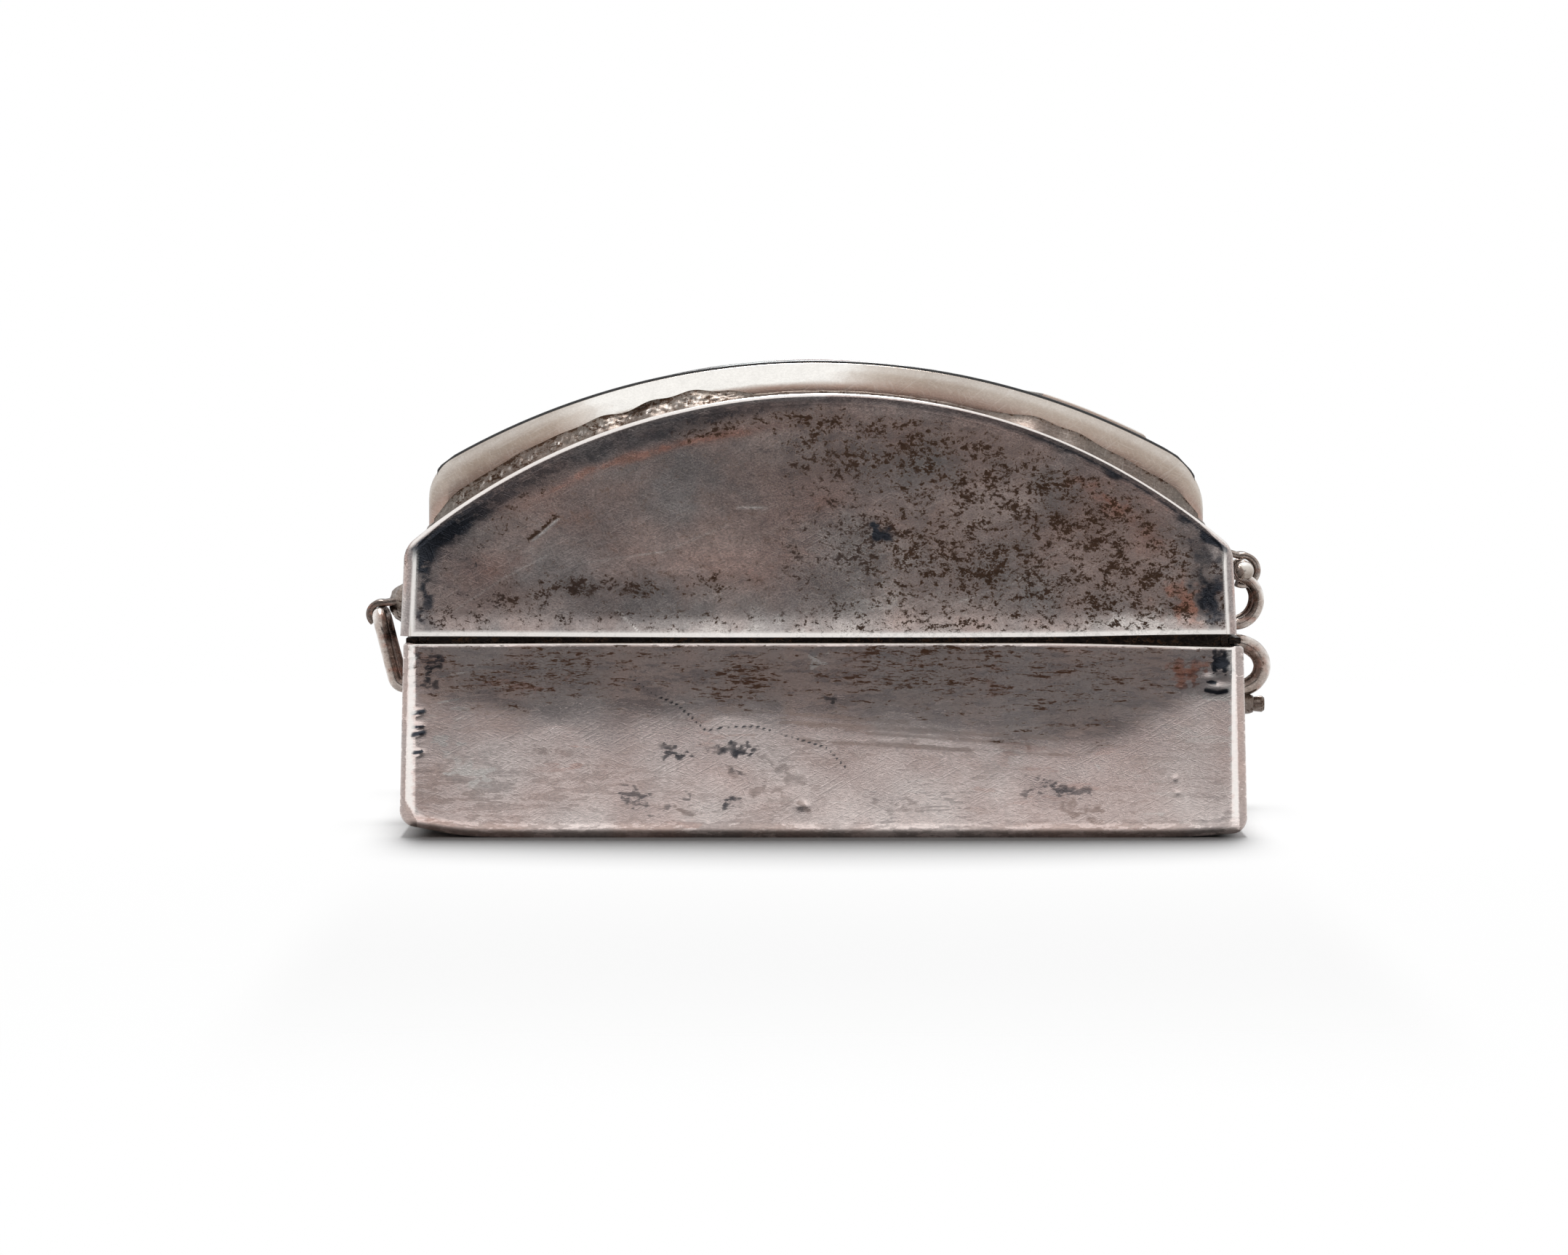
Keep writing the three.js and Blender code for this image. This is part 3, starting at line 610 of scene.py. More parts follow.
@dataclass(frozen=True)
class PolishedStone:
    """Stone, sawn, set in its channel and polished level with the silver: smooth, with a clear gloss.

    Two body colours drift into each other, and a third runs through them as veins: the dark matrix of
    turquoise, the growth lines of coral, the pearly bands of shell or the faint grain of jet.
    """

    name: str
    body: str
    drift: str
    vein: str
    drift_size: float
    vein_size: float
    vein_share: float
    stretch: Point = (1.0, 1.0, 1.0)
    grain_size: float = 0.4
    rough: float = 0.2
    coat: float = 0.3

    def build(self) -> Material:
        """Makes the material.

        Returns:
            The material.
        """
        material, tree = new_material(self.name)
        place = add(tree, "TexCoord", out="Object")
        drawn = add(tree, "Mapping", {"Vector": place, "Scale": self.stretch})
        clouds = {"Vector": drawn, "Scale": per_metre(self.drift_size), "Detail": 6.0}
        cloud = add(tree, "TexNoise", clouds)
        push = add(tree, "VectorMath", {0: cloud, "Scale": self.vein_size * MM}, operation="SCALE")
        moved = add(tree, "VectorMath", {0: drawn, 1: push}, operation="ADD")
        cells = {"Vector": moved, "Scale": per_metre(self.vein_size)}
        line = add(tree, "TexVoronoi", cells, out="Distance", feature="DISTANCE_TO_EDGE")
        patch = add(tree, "MapRange", {"Value": cloud, "From Min": 0.38, "From Max": 0.62})
        levels = {"Value": line, "From Max": 0.09, "To Min": self.vein_share, "To Max": 0.0}
        veins = add(tree, "MapRange", levels, interpolation_type="SMOOTHSTEP")
        patchy = add(tree, "Math", {0: veins, 1: patch}, operation="MULTIPLY")
        colour = linear(self.body)
        for share, code in ((patch, self.drift), (patchy, self.vein)):
            colour = add(tree, "Mix", {0: share, 6: colour, 7: linear(code)}, out=2, data_type="RGBA")
        fine = add(tree, "TexNoise", {"Vector": place, "Scale": per_metre(self.grain_size), "Detail": 4.0})
        worn = {"Value": fine, "From Min": 0.3, "From Max": 0.7}
        rough = add(tree, "MapRange", worn | {"To Min": self.rough, "To Max": self.rough + 0.14})
        bump = add(tree, "Bump", {"Height": fine, "Strength": 0.2, "Distance": 0.01 * MM})
        look = {"Base Color": colour, "Roughness": rough, "Normal": bump, "Coat Weight": self.coat}
        add(tree, "OutputMaterial", {"Surface": add(tree, "BsdfPrincipled", look)})
        return material


# Rolled silver sheet, polished on its outside and tarnished
SHEET = TarnishedSilver("tarnished_silver_sheet").build()
# The same sheet on the tray, wiped along its length: film and specks are drawn out into level streaks
WIPED = TarnishedSilver(
    "wiped_silver_sheet",
    clean="#f4e6e1",
    warm="#e6d2cc",
    dark="#b6a199",
    dusk="#aa9e9a",
    brown="#3a2417",
    level=4.5,
    mottle_size=2.6,
    speck_level=5.0,
    cluster_size=5.0,
    speck_size=1.8,
    grain_size=0.45,
    grit=0.12,
    wipe=4.0,
    bite=0.85,
    soft=0.012,
    relief=0.003,
).build()
# The same sheet inside the box, never polished: paler, duller and more even
LINING = TarnishedSilver(
    "unpolished_silver_sheet",
    clean="#c4bab0",
    warm="#b1a79b",
    dark="#93887d",
    smooth_rough=0.4,
    film_rough=0.5,
).build()
# Burnished silver strip: cream-white where painted highlights lie on it, beige elsewhere, darker where
# painted shade lies
BURNISHED_HIGHLIT = TarnishedSilver(
    "burnished_silver_strip",
    clean="#cbbdb0",
    warm="#baaa9c",
    dark="#8d7f74",
    dusk="#988d84",
    light="#f6f3ee",
    grit=0.05,
    bite=0.2,
).build()
# Solder that has run out and was never filed: dark, with bright flecks
SOLDER = TarnishedSilver(
    "tarnished_solder",
    clean="#a0938a",
    warm="#8c7f77",
    dark="#6b5f58",
    dusk="#6e665f",
    mottle_size=0.8,
    smooth_rough=0.3,
    film_rough=0.38,
).build()
# Drawn silver wire and bent strap: brown-grey, with painted shade towards the wall and painted highlights
# on the crests that face away from it
WIRE = TarnishedSilver(
    "tarnished_silver_wire",
    clean="#d0c5bd",
    warm="#bbaca3",
    dark="#66584f",
    dusk="#716660",
    cloud_size=4.0,
    mottle_size=0.8,
    grit=0.14,
).build()
# Silver strip in the seam, where no cloth reaches: nearly black, tarnish together with painted shade of the
# seam
SEAM = TarnishedSilver(
    "blackened_silver_strip",
    clean="#4d443f",
    warm="#40362f",
    dark="#211b18",
    dusk="#272220",
    light="#8a7d75",
).build()
# Polished jet: near black, with a faint brown grain
JET = PolishedStone("polished_jet", "#141417", "#1d1b1b", "#2a2622", 4.0, 1.5, 0.6, rough=0.16).build()
# Polished turquoise: sea green to sky blue, with a brown-black matrix
TURQUOISE = PolishedStone("polished_turquoise", "#2f9a96", "#4bb0ad", "#2b2a22", 5.0, 3.4, 0.85).build()
# Polished coral: brick to orange red, with fine growth lines along its length
CORAL = PolishedStone(
    "polished_coral", "#a83226", "#c4503a", "#7c1f18", 3.0, 1.4, 0.5, stretch=(1.0, 0.3, 1.0)
).build()
# Polished mother of pearl: cream, with rosy and silvery bands
SHELL = PolishedStone(
    "polished_mother_of_pearl",
    body="#e4dccd",
    drift="#d8d3d6",
    vein="#cdb9ae",
    drift_size=4.0,
    vein_size=2.6,
    vein_share=0.5,
    stretch=(1.0, 0.45, 1.0),
    coat=0.6,
).build()


# Painting


@dataclass(frozen=True)
class Smear:
    """A soft patch of a stain on an upright face: an ellipse that is full in its middle and fades out.

    Sizes are half sizes in millimetres, the turn is in degrees, and an amount below 0 thins the stain.
    """

    stain: Stain
    x: float
    z: float
    wide: float
    high: float
    amount: float
    turn: float = 0.0

    def lay(self, x: Array, z: Array) -> Array:
        """Gives the amount at each point: exp(-r^3), where r is the distance in the ellipse's half sizes.

        Args:
            x: places across.
            z: heights.

        Returns:
            The amounts.
        """
        angle = np.radians(self.turn)
        along = (x - self.x) * np.cos(angle) + (z - self.z) * np.sin(angle)
        over = (z - self.z) * np.cos(angle) - (x - self.x) * np.sin(angle)
        return self.amount * np.exp(-np.hypot(along / self.wide, over / self.high) ** 3)


@dataclass(frozen=True)
class Stroke:
    """A thin line of a stain on an upright face, through places, in millimetres: a scratch, and in places
    painted shade and painted highlights along nicks.
    """

    stain: Stain
    places: tuple[tuple[float, float], ...]
    width: float
    amount: float
    beads: float = 0.0

    def lay(self, x: Array, z: Array) -> Array:
        """Gives the amount at each point: exp(-(d/width)^2), where d is the distance from the line. A
        beaded scratch comes and goes with a sine wave of the beads' pitch.

        Args:
            x: places across.
            z: heights.

        Returns:
            The amounts.
        """
        nearest = np.full(x.shape, np.inf)
        for (start_x, start_z), (end_x, end_z) in zip(self.places, self.places[1:]):
            run_x, run_z = end_x - start_x, end_z - start_z
            share = ((x - start_x) * run_x + (z - start_z) * run_z) / (run_x**2 + run_z**2)
            share = np.clip(share, 0, 1)
            apart = np.hypot(x - start_x - share * run_x, z - start_z - share * run_z)
            nearest = np.minimum(nearest, apart)
        line = self.amount * np.exp(-((nearest / self.width) ** 2))
        if self.beads:
            line = line * smooth(np.sin(2 * np.pi * (x - z) / self.beads), -0.3, 0.5)
        return line


Mark = Smear | Stroke


def gather(smears: dict[Stain, tuple], scratches: dict[Stain, tuple]) -> tuple[Mark, ...]:
    """Makes a face's marks: the smears of each stain, and then its scratches.

    Args:
        smears: for each stain, rows of the values that a smear takes.
        scratches: for each stain, rows of the values that a scratch takes.

    Returns:
        The marks, in the order in which they are laid.
    """
    return tuple(
        kind(stain, *row)
        for kind, groups in ((Smear, smears), (Stroke, scratches))
        for stain, rows in groups.items()
        for row in rows
    )


def paint(stains: Stains, marks: tuple[Mark, ...], x: Array, z: Array) -> None:
    """Lays marks over what a face carries. Smears lie on places that waver, so none is a clean ellipse.

    Args:
        stains: what the face carries, changed in place.
        marks: the smears and scratches.
        x: places across.
        z: heights.
    """
    uneven_x = x + WAVER * 2 * (ripple(x, z, 5.3, 1.1) - 0.5) + WAVER * (ripple(x, z, 1.9, 2.7) - 0.5)
    uneven_z = z + WAVER * (ripple(x, z, 4.1, 4.2) - 0.5) + WAVER * 0.6 * (ripple(x, z, 1.5, 0.4) - 0.5)
    for mark in marks:
        laid = mark.lay(uneven_x, uneven_z) if isinstance(mark, Smear) else mark.lay(x, z)
        stains[mark.stain] = np.clip(stains[mark.stain] + laid, 0, 1)


def weather(across: Array, up: Array, seed: float | Array) -> Stains:
    """Gives a face of sheet its uneven tarnish: slow fields of each stain, drawn out along the face.

    Args:
        across: places along the face.
        up: heights.
        seed: sets this face apart from others.

    Returns:
        What the face carries.
    """
    return {
        DARK: 0.2 + 0.6 * ripple(across, 2.0 * up, 44, seed),
        BROWN: 0.6 * smooth(ripple(across, 1.6 * up, 34, seed + 1.3), 0.3, 0.95),
        BLUE: 0.45 * smooth(ripple(across, up, 60, seed + 2.1), 0.5, 1.0),
        ROSE: 0.45 * smooth(ripple(across, 2.0 * up, 48, seed + 3.7), 0.5, 1.0),
        LIGHT: 0.4 * smooth(ripple(across, 3.0 * up, 40, seed + 5.2), 0.5, 1.0),
        EDGE: np.zeros(np.broadcast(across, up).shape),
    }


LID_MARKS = gather(
    smears={
        # Light smears along the lower edge are painted reflection of the bright floor; the one in the
        # middle is a rubbed spot
        LIGHT: (
            (6, 19.0, 40, 0.9, 0.3), (-6, 20.0, 11, 1.6, 0.35), (31, 20.2, 6.0, 1.1, 0.6),
            (10, 21.6, 9, 1.4, 0.35), (2, 26.5, 6, 4, 0.4),
        ),
        DARK: (
            (1.5, 25.5, 5.5, 6.0, -0.45), (2, 37, 14, 3, -0.3), (-2, 30.5, 4.2, 4.5, -0.2),
            (33, 24, 3, 3, -0.2),
        ),
        BROWN: (
            (-22.6, 23.6, 4.4, 0.9, 0.95), (-29.5, 22.6, 3.6, 1.1, 0.6), (-36.0, 21.0, 2.6, 1.5, 0.34),
            (-17.5, 23.4, 2.6, 0.6, 0.7), (-10.7, 24.0, 3.4, 0.9, 0.38), (-20, 20.6, 14, 0.8, 0.15),
            (-29, 30.8, 3.2, 1.2, 0.3, 38), (-33, 27, 2.2, 1.2, 0.26, 45),
            (-10.4, 38.7, 3.6, 0.8, 0.85, 10), (-2.0, 39.4, 4.6, 1.1, 0.75), (0, 35.6, 4.0, 2.2, 0.4),
            (10, 36, 9, 3, 0.26), (22, 31.6, 8, 3, 0.3), (27, 27, 7, 4, 0.2), (12, 26.6, 8, 2.2, 0.35),
            (20, 23.6, 8, 1.8, 0.2), (32, 24.6, 4, 3, 0.25), (1.5, 27.0, 4, 2.6, 0.3),
            (5.0, 29.0, 2.6, 1.0, 1.0),
        ),
        # Blue smears at the two walls and by the arch are painted dark reflection; the spot at 5 mm is blue
        # tarnish
        BLUE: (
            (5.2, 28.8, 1.7, 0.6, 1.0), (37.3, 22.4, 1.3, 3.6, 0.8, 8), (36.6, 27.4, 1.8, 1.6, 0.5),
            (-37.3, 22.6, 0.9, 3.6, 0.5), (-34, 25, 6, 5, 0.4),
        ),
        ROSE: (
            (34.6, 22.2, 1.3, 2.8, 1.0, 16), (27.3, 31.7, 3.6, 0.8, 0.6, -30),
            (31.4, 28.0, 1.5, 1.8, 0.45), (-31.5, 25.5, 3.4, 1.6, 0.35, 30), (-1, 29, 4.0, 4.0, 0.35),
        ),
    },
    scratches={
        BROWN: (
            (((-27.6, 28.2), (-26.6, 28.9), (-25.3, 30.2)), 0.2, 1.0),
        ),
        # The edge line beside the brown scratch is a painted highlight on its lip
        EDGE: (
            (((-27.2, 28.1), (-26.3, 28.8), (-25.0, 30.0)), 0.1, 0.7),
        ),
        # Light lines are fine scratches, except the one at -19 mm: the painted lit side of a nick
        LIGHT: (
            (((-8.1, 31.1), (-6.6, 31.15), (-5.4, 31.05)), 0.12, 0.8),
            (((-19.5, 21.5), (-18.3, 20.4), (-17.3, 19.4)), 0.12, 0.6),
            (((-34.5, 21.5), (-30.0, 24.5), (-26.0, 26.6)), 0.09, 0.4),
            (((-22.0, 26.0), (-15.0, 27.0), (-9.0, 29.5)), 0.09, 0.35),
            (((12.0, 22.0), (18.0, 24.0), (25.0, 29.0)), 0.09, 0.35),
        ),
        # Dark lines are painted shade on the far side of that nick
        DARK: (
            (((-19.2, 21.9), (-17.9, 20.7), (-16.6, 19.5)), 0.16, 0.7),
            (((-18.5, 22.0), (-17.2, 20.9), (-16.0, 19.9)), 0.12, 0.6),
        ),
    },
)

TRAY_MARKS = gather(
    smears={
        BROWN: (
            (-26, 15.5, 6.0, 1.9, 0.5), (-24, 17.3, 6, 0.7, 0.3), (-7, 15.5, 4, 1.8, 0.4),
            (-8, 13.4, 3.4, 0.8, 0.35), (7, 15.4, 9, 1.6, 0.4), (10, 17.6, 7, 0.6, 0.6),
            (20, 15.5, 8, 1.6, 0.3),
        ),
        ROSE: (
            (-27, 14.6, 5.0, 0.9, 0.45), (16.5, 15, 2.2, 2.4, 0.3), (34.5, 15.6, 1.6, 1.4, 1.0),
            (15, 3.6, 4.0, 1.6, 0.3), (-22, 7.4, 3.0, 1.2, 0.25),
        ),
        BLUE: (
            (37.4, 16.8, 1.1, 1.3, 0.9), (-37.4, 15.8, 0.9, 2.3, 0.7), (-14.0, 8.0, 2.4, 0.7, 0.75),
            (-8.2, 8.3, 2.2, 0.6, 0.8), (-8.4, 6.5, 0.9, 0.5, 0.5), (-17.6, 3.6, 2.8, 1.0, 0.6, -25),
            (-9.0, 3.3, 1.2, 0.7, 0.7), (-12.6, 3.5, 0.9, 0.8, 0.45), (22.3, 4.6, 3.6, 0.9, 0.65, -12),
            (18.9, 4.3, 1.0, 0.5, 0.4), (0.3, 13.0, 0.6, 0.6, 0.6),
        ),
        DARK: (
            (-25.8, 8.0, 2.4, 0.6, 0.35), (-30, 4.2, 8, 2.8, 0.25), (7, 2.8, 3.4, 0.6, 0.4),
            (24, 2.6, 2.4, 0.6, 0.4, -30), (-6.5, 5.0, 5.0, 0.4, 0.3, -28),
            (-3.6, 6.2, 5.0, 0.4, 0.25, -28), (4, 4, 12, 3, -0.25),
        ),
        # Light smears are rubbed spots, except the broad ones low on the wall, which are painted reflection
        # of the bright floor
        LIGHT: (
            (-32.9, 6.1, 2.7, 1.4, 0.8), (-35.8, 8.6, 1.3, 1.3, 0.55), (-35.5, 11.8, 2.6, 0.9, 0.4),
            (-0.5, 16.6, 1.6, 0.6, 0.7), (37.0, 13.6, 1.6, 1.0, 0.7), (35, 10.5, 4, 2.4, 0.3),
            (6, 4.5, 8, 1.6, 0.3), (33, 3.5, 6, 2.4, 0.25),
        ),
    },
    scratches={
        # Short blue-black lines at both edges are painted shade in the nicks pressed in below; the long
        # beaded line is a scratch
        BLUE: (
            (((-38.8, 11.7), (-37.7, 11.95)), 0.22, 1.0), (((-38.8, 10.4), (-37.8, 10.5)), 0.14, 1.0),
            (((-38.8, 9.7), (-37.7, 9.95)), 0.22, 1.0), (((-38.7, 8.0), (-37.9, 8.15)), 0.18, 1.0),
            (((36.1, 14.0), (37.1, 13.75), (38.0, 13.9)), 0.28, 1.0),
            (((36.2, 14.9), (36.9, 14.7)), 0.22, 0.9),
            (((-18.4, 15.3), (-16.2, 13.6), (-13.7, 12.5), (-11.1, 10.1), (-9.1, 10.5),
              (-6.3, 10.5), (0.3, 8.5), (2.3, 6.4)), 0.13, 0.9, 0.7),
        ),
        # Painted highlights on the lips of the dents at the pull side
        EDGE: (
            (((36.4, 15.5), (37.4, 15.4)), 0.15, 0.5),
            (((36.2, 14.4), (37.4, 14.3), (38.2, 14.6)), 0.2, 0.5),
        ),
        LIGHT: (
            (((-37.5, 15.0), (-34.0, 15.6), (-30.0, 16.6)), 0.1, 0.6),
            (((-37.0, 12.6), (-33.0, 13.4), (-28.0, 15.0)), 0.1, 0.5),
            (((24.0, 9.0), (26.5, 6.0)), 0.1, 0.5),
        ),
        DARK: (
            (((-10, 12.2), (8, 10.9)), 0.16, 0.5), (((-4, 10.9), (22, 9.3)), 0.2, 0.5),
            (((2, 10.0), (20, 8.8)), 0.15, 0.45), (((-2, 9.2), (14, 8.2)), 0.15, 0.4),
            (((5, 8.9), (24, 7.7)), 0.15, 0.4), (((18.6, 10.2), (19.4, 8.4)), 0.16, 0.8),
            # The first dash here lies in the dent at -2 mm and is painted shade in it
            (((-2.3, 3.3), (-1.4, 2.6)), 0.2, 0.9), (((-14.0, 2.9), (-12.4, 2.1)), 0.16, 0.7),
        ),
    },
)

# How far down the tray's dark film reaches, as heights along the front: tarnish that also stands in for a
# painted reflection of the dark room
FILM_PLACES = (-40, -37, -30, -20, -10, -2, 2, 8, 16, 22, 26, 30, 33, 36, 40)
FILM_HEIGHTS = (14.5, 13.8, 12.3, 12.1, 12.4, 12.4, 11.9, 11.2, 10.1, 9.2, 9.6, 11.4, 12.8, 14.8, 16.0)


# Sub-assemblies


@dataclass
class Tray:
    """The low tray: end walls that turn the corners, side walls, and a floor inside their rounded foot."""

    sheet: float = 1.0
    lean: float = 0.4
    foot: float = 1.3
    foot_height: float = 1.5
    foot_soft: float = 0.5
    foot_power: float = 3.5
    corner: float = 1.8
    rim_round: float = 0.32
    foot_lift: float = 1.1
    foot_lift_reach: float = 4.6
    foot_lift_length: float = 16.0
    rim_lift: float = 0.25
    rim_sag: float = 0.4
    lean_angle: float = 0.05
    lean_reach: float = 0.8

    def __post_init__(self) -> None:
        """Takes the overall sizes from the frame."""
        self.half_x, self.half_y, self.floor_top = box_mm("tray_floor")[1]
        end = box_mm("tray_front_end")[1]
        self.height = end[2] + self.rim_lift
        self.joint = -end[1]

    def leant(self, z: Array) -> Array:
        """How far in the wall leans at a height."""
        return self.lean * np.clip((z - self.foot) / (self.height - self.foot), 0, 1)

    def profile(self) -> tuple[Array, Array, Array]:
        """The wall's section as a closed loop: from under the floor's edge, round the foot, up the leaning
        outer face, over the rounded rim and down the inner face. The foot is a quarter ellipse at the long
        sides. At the ends it is a softer curve, a power of the share of its height that is left.

        Returns:
            How far each point lies in at the long sides, how far in at the ends, and its height.
        """
        turn = np.linspace(0, np.pi / 2, 21)
        foot_in = self.foot * (1 - np.sin(turn))
        foot_up = self.foot_height * (1 - np.cos(turn))
        soft_in = self.foot_soft * np.cos(turn) ** self.foot_power
        top = self.height - self.rim_round
        wall_up = np.linspace(self.foot_height, top, 112)[1:]
        over = np.linspace(0, np.pi, 9)[1:]
        half = self.sheet / 2
        rim_in = half - half * np.cos(over)
        rim_up = top + self.rim_round * np.sin(over)
        inner_up = np.linspace(top, self.floor_top, 24)[1:]
        under_in = np.array([self.sheet, self.foot])
        under_up = np.array([self.foot / 2, self.foot / 3])
        rest = [np.zeros_like(wall_up), rim_in, np.full_like(inner_up, self.sheet), under_in]
        height = np.concatenate([foot_up, wall_up, rim_up, inner_up, under_up])
        inset, soft = (np.concatenate([foot, *rest]) + self.leant(height) for foot in (foot_in, soft_in))
        return inset, soft, height

    def settle(self, points: Array) -> Array:
        """Bends a grid as the old tray is bent: the foot lifts towards its corners, most at the hinge side,
        and the rim sags a little from its middle to its ends.

        Args:
            points: the grid, changed in place.

        Returns:
            The same grid.
        """
        x, y, z = np.moveaxis(points, -1, 0)
        near_end = np.exp(-(((np.abs(y) - self.half_y) / self.foot_lift_length) ** 2))
        left = np.exp(-(((x + self.half_x) / self.foot_lift_reach) ** 2))
        right = np.exp(-(((x - self.half_x) / self.foot_lift_reach) ** 2))
        low = 1 - smooth(z, 0.5, 6)
        sag = self.rim_sag * (smooth(x, 20, 42) + 0.2 * smooth(-x, 20, 42)) * smooth(z, 12, 18)
        points[..., 2] = z + self.foot_lift * (left + 0.35 * right) * near_end * low - sag
        return points

    def end_outline(self, inset: Array, soft: Array, face: Face) -> tuple[Array, Array]:
        """The end's plan, drawn in by an inset: along one side, round a corner, across the end, round the
        other corner and back along the other side.

        Args:
            inset: how far in at the sides, one value for each point of the section.
            soft: how far in at the end.
            face: which end.

        Returns:
            X and Y, with one row for each step along the plan.
        """
        reach_x = (self.half_x - inset)[None]
        reach_y = (self.half_y - soft)[None]
        radius = np.maximum(self.corner - inset, 0.05)[None]
        side = np.linspace(0, 1, 8)[:, None]
        turn = np.linspace(0, np.pi / 2, 15)[1:, None]
        front = np.linspace(0, 1, 400)[1:, None]
        run = self.joint + (reach_y - radius - self.joint) * side
        arc_x = reach_x - radius * (1 - np.cos(turn))
        arc_y = reach_y - radius * (1 - np.sin(turn))
        half_x = np.concatenate([np.broadcast_to(reach_x, run.shape), arc_x])
        half_y = np.concatenate([run, arc_y])
        flat_x = (reach_x - radius) * (2 * front - 1)
        x = np.concatenate([-half_x, flat_x, half_x[:-1][::-1]])
        y = np.concatenate([half_y, np.broadcast_to(reach_y, flat_x.shape), half_y[:-1][::-1]])
        return x, face.value * y

    def end_stains(self, x: Array, y: Array, z: Array, face: Face) -> Stains:
        """What an end carries: a dark film under the rim, smudges below it, painted highlights along the
        rim and beside each corner, and painted shade on each corner's turn.

        Args:
            x: places across.
            y: places along.
            z: heights.
            face: which end.

        Returns:
            What each point carries.
        """
        stains = self.wall_stains(x, z, np.interp(x, FILM_PLACES, FILM_HEIGHTS), 0.7)
        if face is Face.FRONT:
            paint(stains, TRAY_MARKS, x, z)
        along = self.side_stains(y, z, np.sign(x))
        curve = (0.3 - 1.2 * (1 - smooth(z, 0.3, 3.2))) * (x < 0)
        side = self.half_x - self.leant(z) - np.abs(x) + curve
        turned = 1 - smooth(side, 0.75, 0.95)
        inner = smooth(self.half_y - np.abs(y), self.sheet * 0.8, self.sheet * 0.95)
        stains[DARK] *= smooth(side, 1.2, 2.0)
        past = turned * smooth(self.half_y - np.abs(y), 0.7, 1.9)
        for stain in Stain:
            kept = stains[stain] * (1 - turned) * (1 - 0.7 * inner * (1 - past))
            stains[stain] = kept + along[stain] * past
        # Painted shade on the corner's turn
        stains[DARK] += 0.95 * (turned - past)
        # Painted highlight down the wall beside each corner
        ragged = 1.45 + 0.4 * (ripple(x, 2 * z, 3.1, 0.9) - 0.5)
        bright = smooth(side, 0.8, 1.0) * (1 - smooth(side - ragged, -0.1, 0.2)) * smooth(z, 0.8, 2.2)
        stains[EDGE] = np.maximum(stains[EDGE], 0.8 * bright)
        return stains

    def side_stains(self, y: Array, z: Array, sign: float | Array) -> Stains:
        """What a long wall carries, on the hinge side (sign -1) or the pull side (sign 1)."""
        return self.wall_stains(y, z, 10.5 + 5 * (ripple(y, 0 * y, 60, sign) - 0.5), 2.0 + sign)

    def wall_stains(self, across: Array, z: Array, reach: Array, seed: float | Array) -> Stains:
        """What a wall carries: a film that is thick under the rim and thins out below a wavering height,
        painted shade along the foot and a painted highlight along the rim.

        Args:
            across: places along the wall.
            z: heights.
            reach: how far down the thick film comes.
            seed: sets this wall apart from others.

        Returns:
            What each point carries.
        """
        stains = weather(across, z, seed)
        above = z - reach + 2.0 * (ripple(across, z * 3, 9, seed + 2.6) - 0.5)
        above = above + 2.4 * (ripple(across, z * 7, 6, seed + 0.8) - 0.5)
        stains[DARK] = 0.16 + 0.4 * stains[DARK] + 0.28 * smooth(above, -1.8, 1.6)
        # Painted shade along the foot
        stains[DARK] += 0.3 * (1 - smooth(z, 0.8, 1.8))
        stains[BROWN] = 0.2 * stains[BROWN] * smooth(above, -3, 0) + 0.2 * smooth(above, -0.5, 2.5)
        for stain in (BLUE, ROSE, LIGHT):
            stains[stain] *= 0.5
        # Painted highlight along the rim
        stains[EDGE] = 0.8 * smooth(z, self.height - 0.32, self.height - 0.18)
        return stains

    def swell(self, points: Array, face: Face) -> Array:
        """Gives an end wall the faint swell of sheet that was planished by hand: above a wavering line it
        leans back. The depth is the log of 1 plus the exponential of the distance from that line, so that
        the lean starts smoothly.

        Args:
            points: the end's grid, changed in place.
            face: which end.

        Returns:
            The same grid.
        """
        x, y, z = np.moveaxis(points, -1, 0)
        line = np.interp(x, FILM_PLACES, FILM_HEIGHTS) + 0.6 * (ripple(x, z, 15, 1.7) - 0.5)
        depth = self.lean_angle * self.lean_reach * np.log1p(np.exp((z - line) / self.lean_reach))
        dents = 0.02 * (ripple(x, z, 21, 0.8) - 0.5) * smooth(z, 1, 4)
        near = smooth(np.abs(y), self.half_y - 2.4, self.half_y - 1.2)
        inside = smooth(self.half_x - np.abs(x), 0.6, 5)
        points[..., 1] = y - face.value * np.maximum(depth + dents, 0) * near * inside
        return points

    def nicks(self, points: Array) -> Array:
        """Presses small notches into the hinge side's front edge and shallow dents into the wall: each is a
        bell-shaped hollow towards the inside.

        Args:
            points: the front end's grid, changed in place.

        Returns:
            The same grid.
        """
        x, y, z = np.moveaxis(points, -1, 0)
        outer = smooth(-y, self.half_y - 1.2, self.half_y - 0.6)
        hollows = (
            *((-38.7, height, 0.6, 0.22, 0.12) for height in (11.8, 10.5, 9.85, 8.0)),
            *((-39.4, height, 0.5, 0.2, 0.12) for height in (16.6, 15.9, 14.4)),
            (37.0, 14.3, 0.9, 0.5, 0.04),
            (37.6, 16.0, 0.8, 0.9, 0.04),
            (36.3, 15.2, 0.7, 0.5, 0.03),
            (-2.0, 3.0, 0.4, 0.3, 0.04),
            (33.2, 5.6, 0.15, 0.25, 0.02),
            (33.4, 4.2, 0.15, 0.2, 0.02),
        )
        depth = np.zeros_like(x)
        for place, height, wide, high, deep in hollows:
            depth += deep * np.exp(-(((x - place) / wide) ** 2) - ((z - height) / high) ** 2)
        points[..., 1] = y + depth * outer
        points[..., 0] = x - np.sign(x) * 0.6 * depth * outer * smooth(np.abs(x), 38, 39.6)
        return points

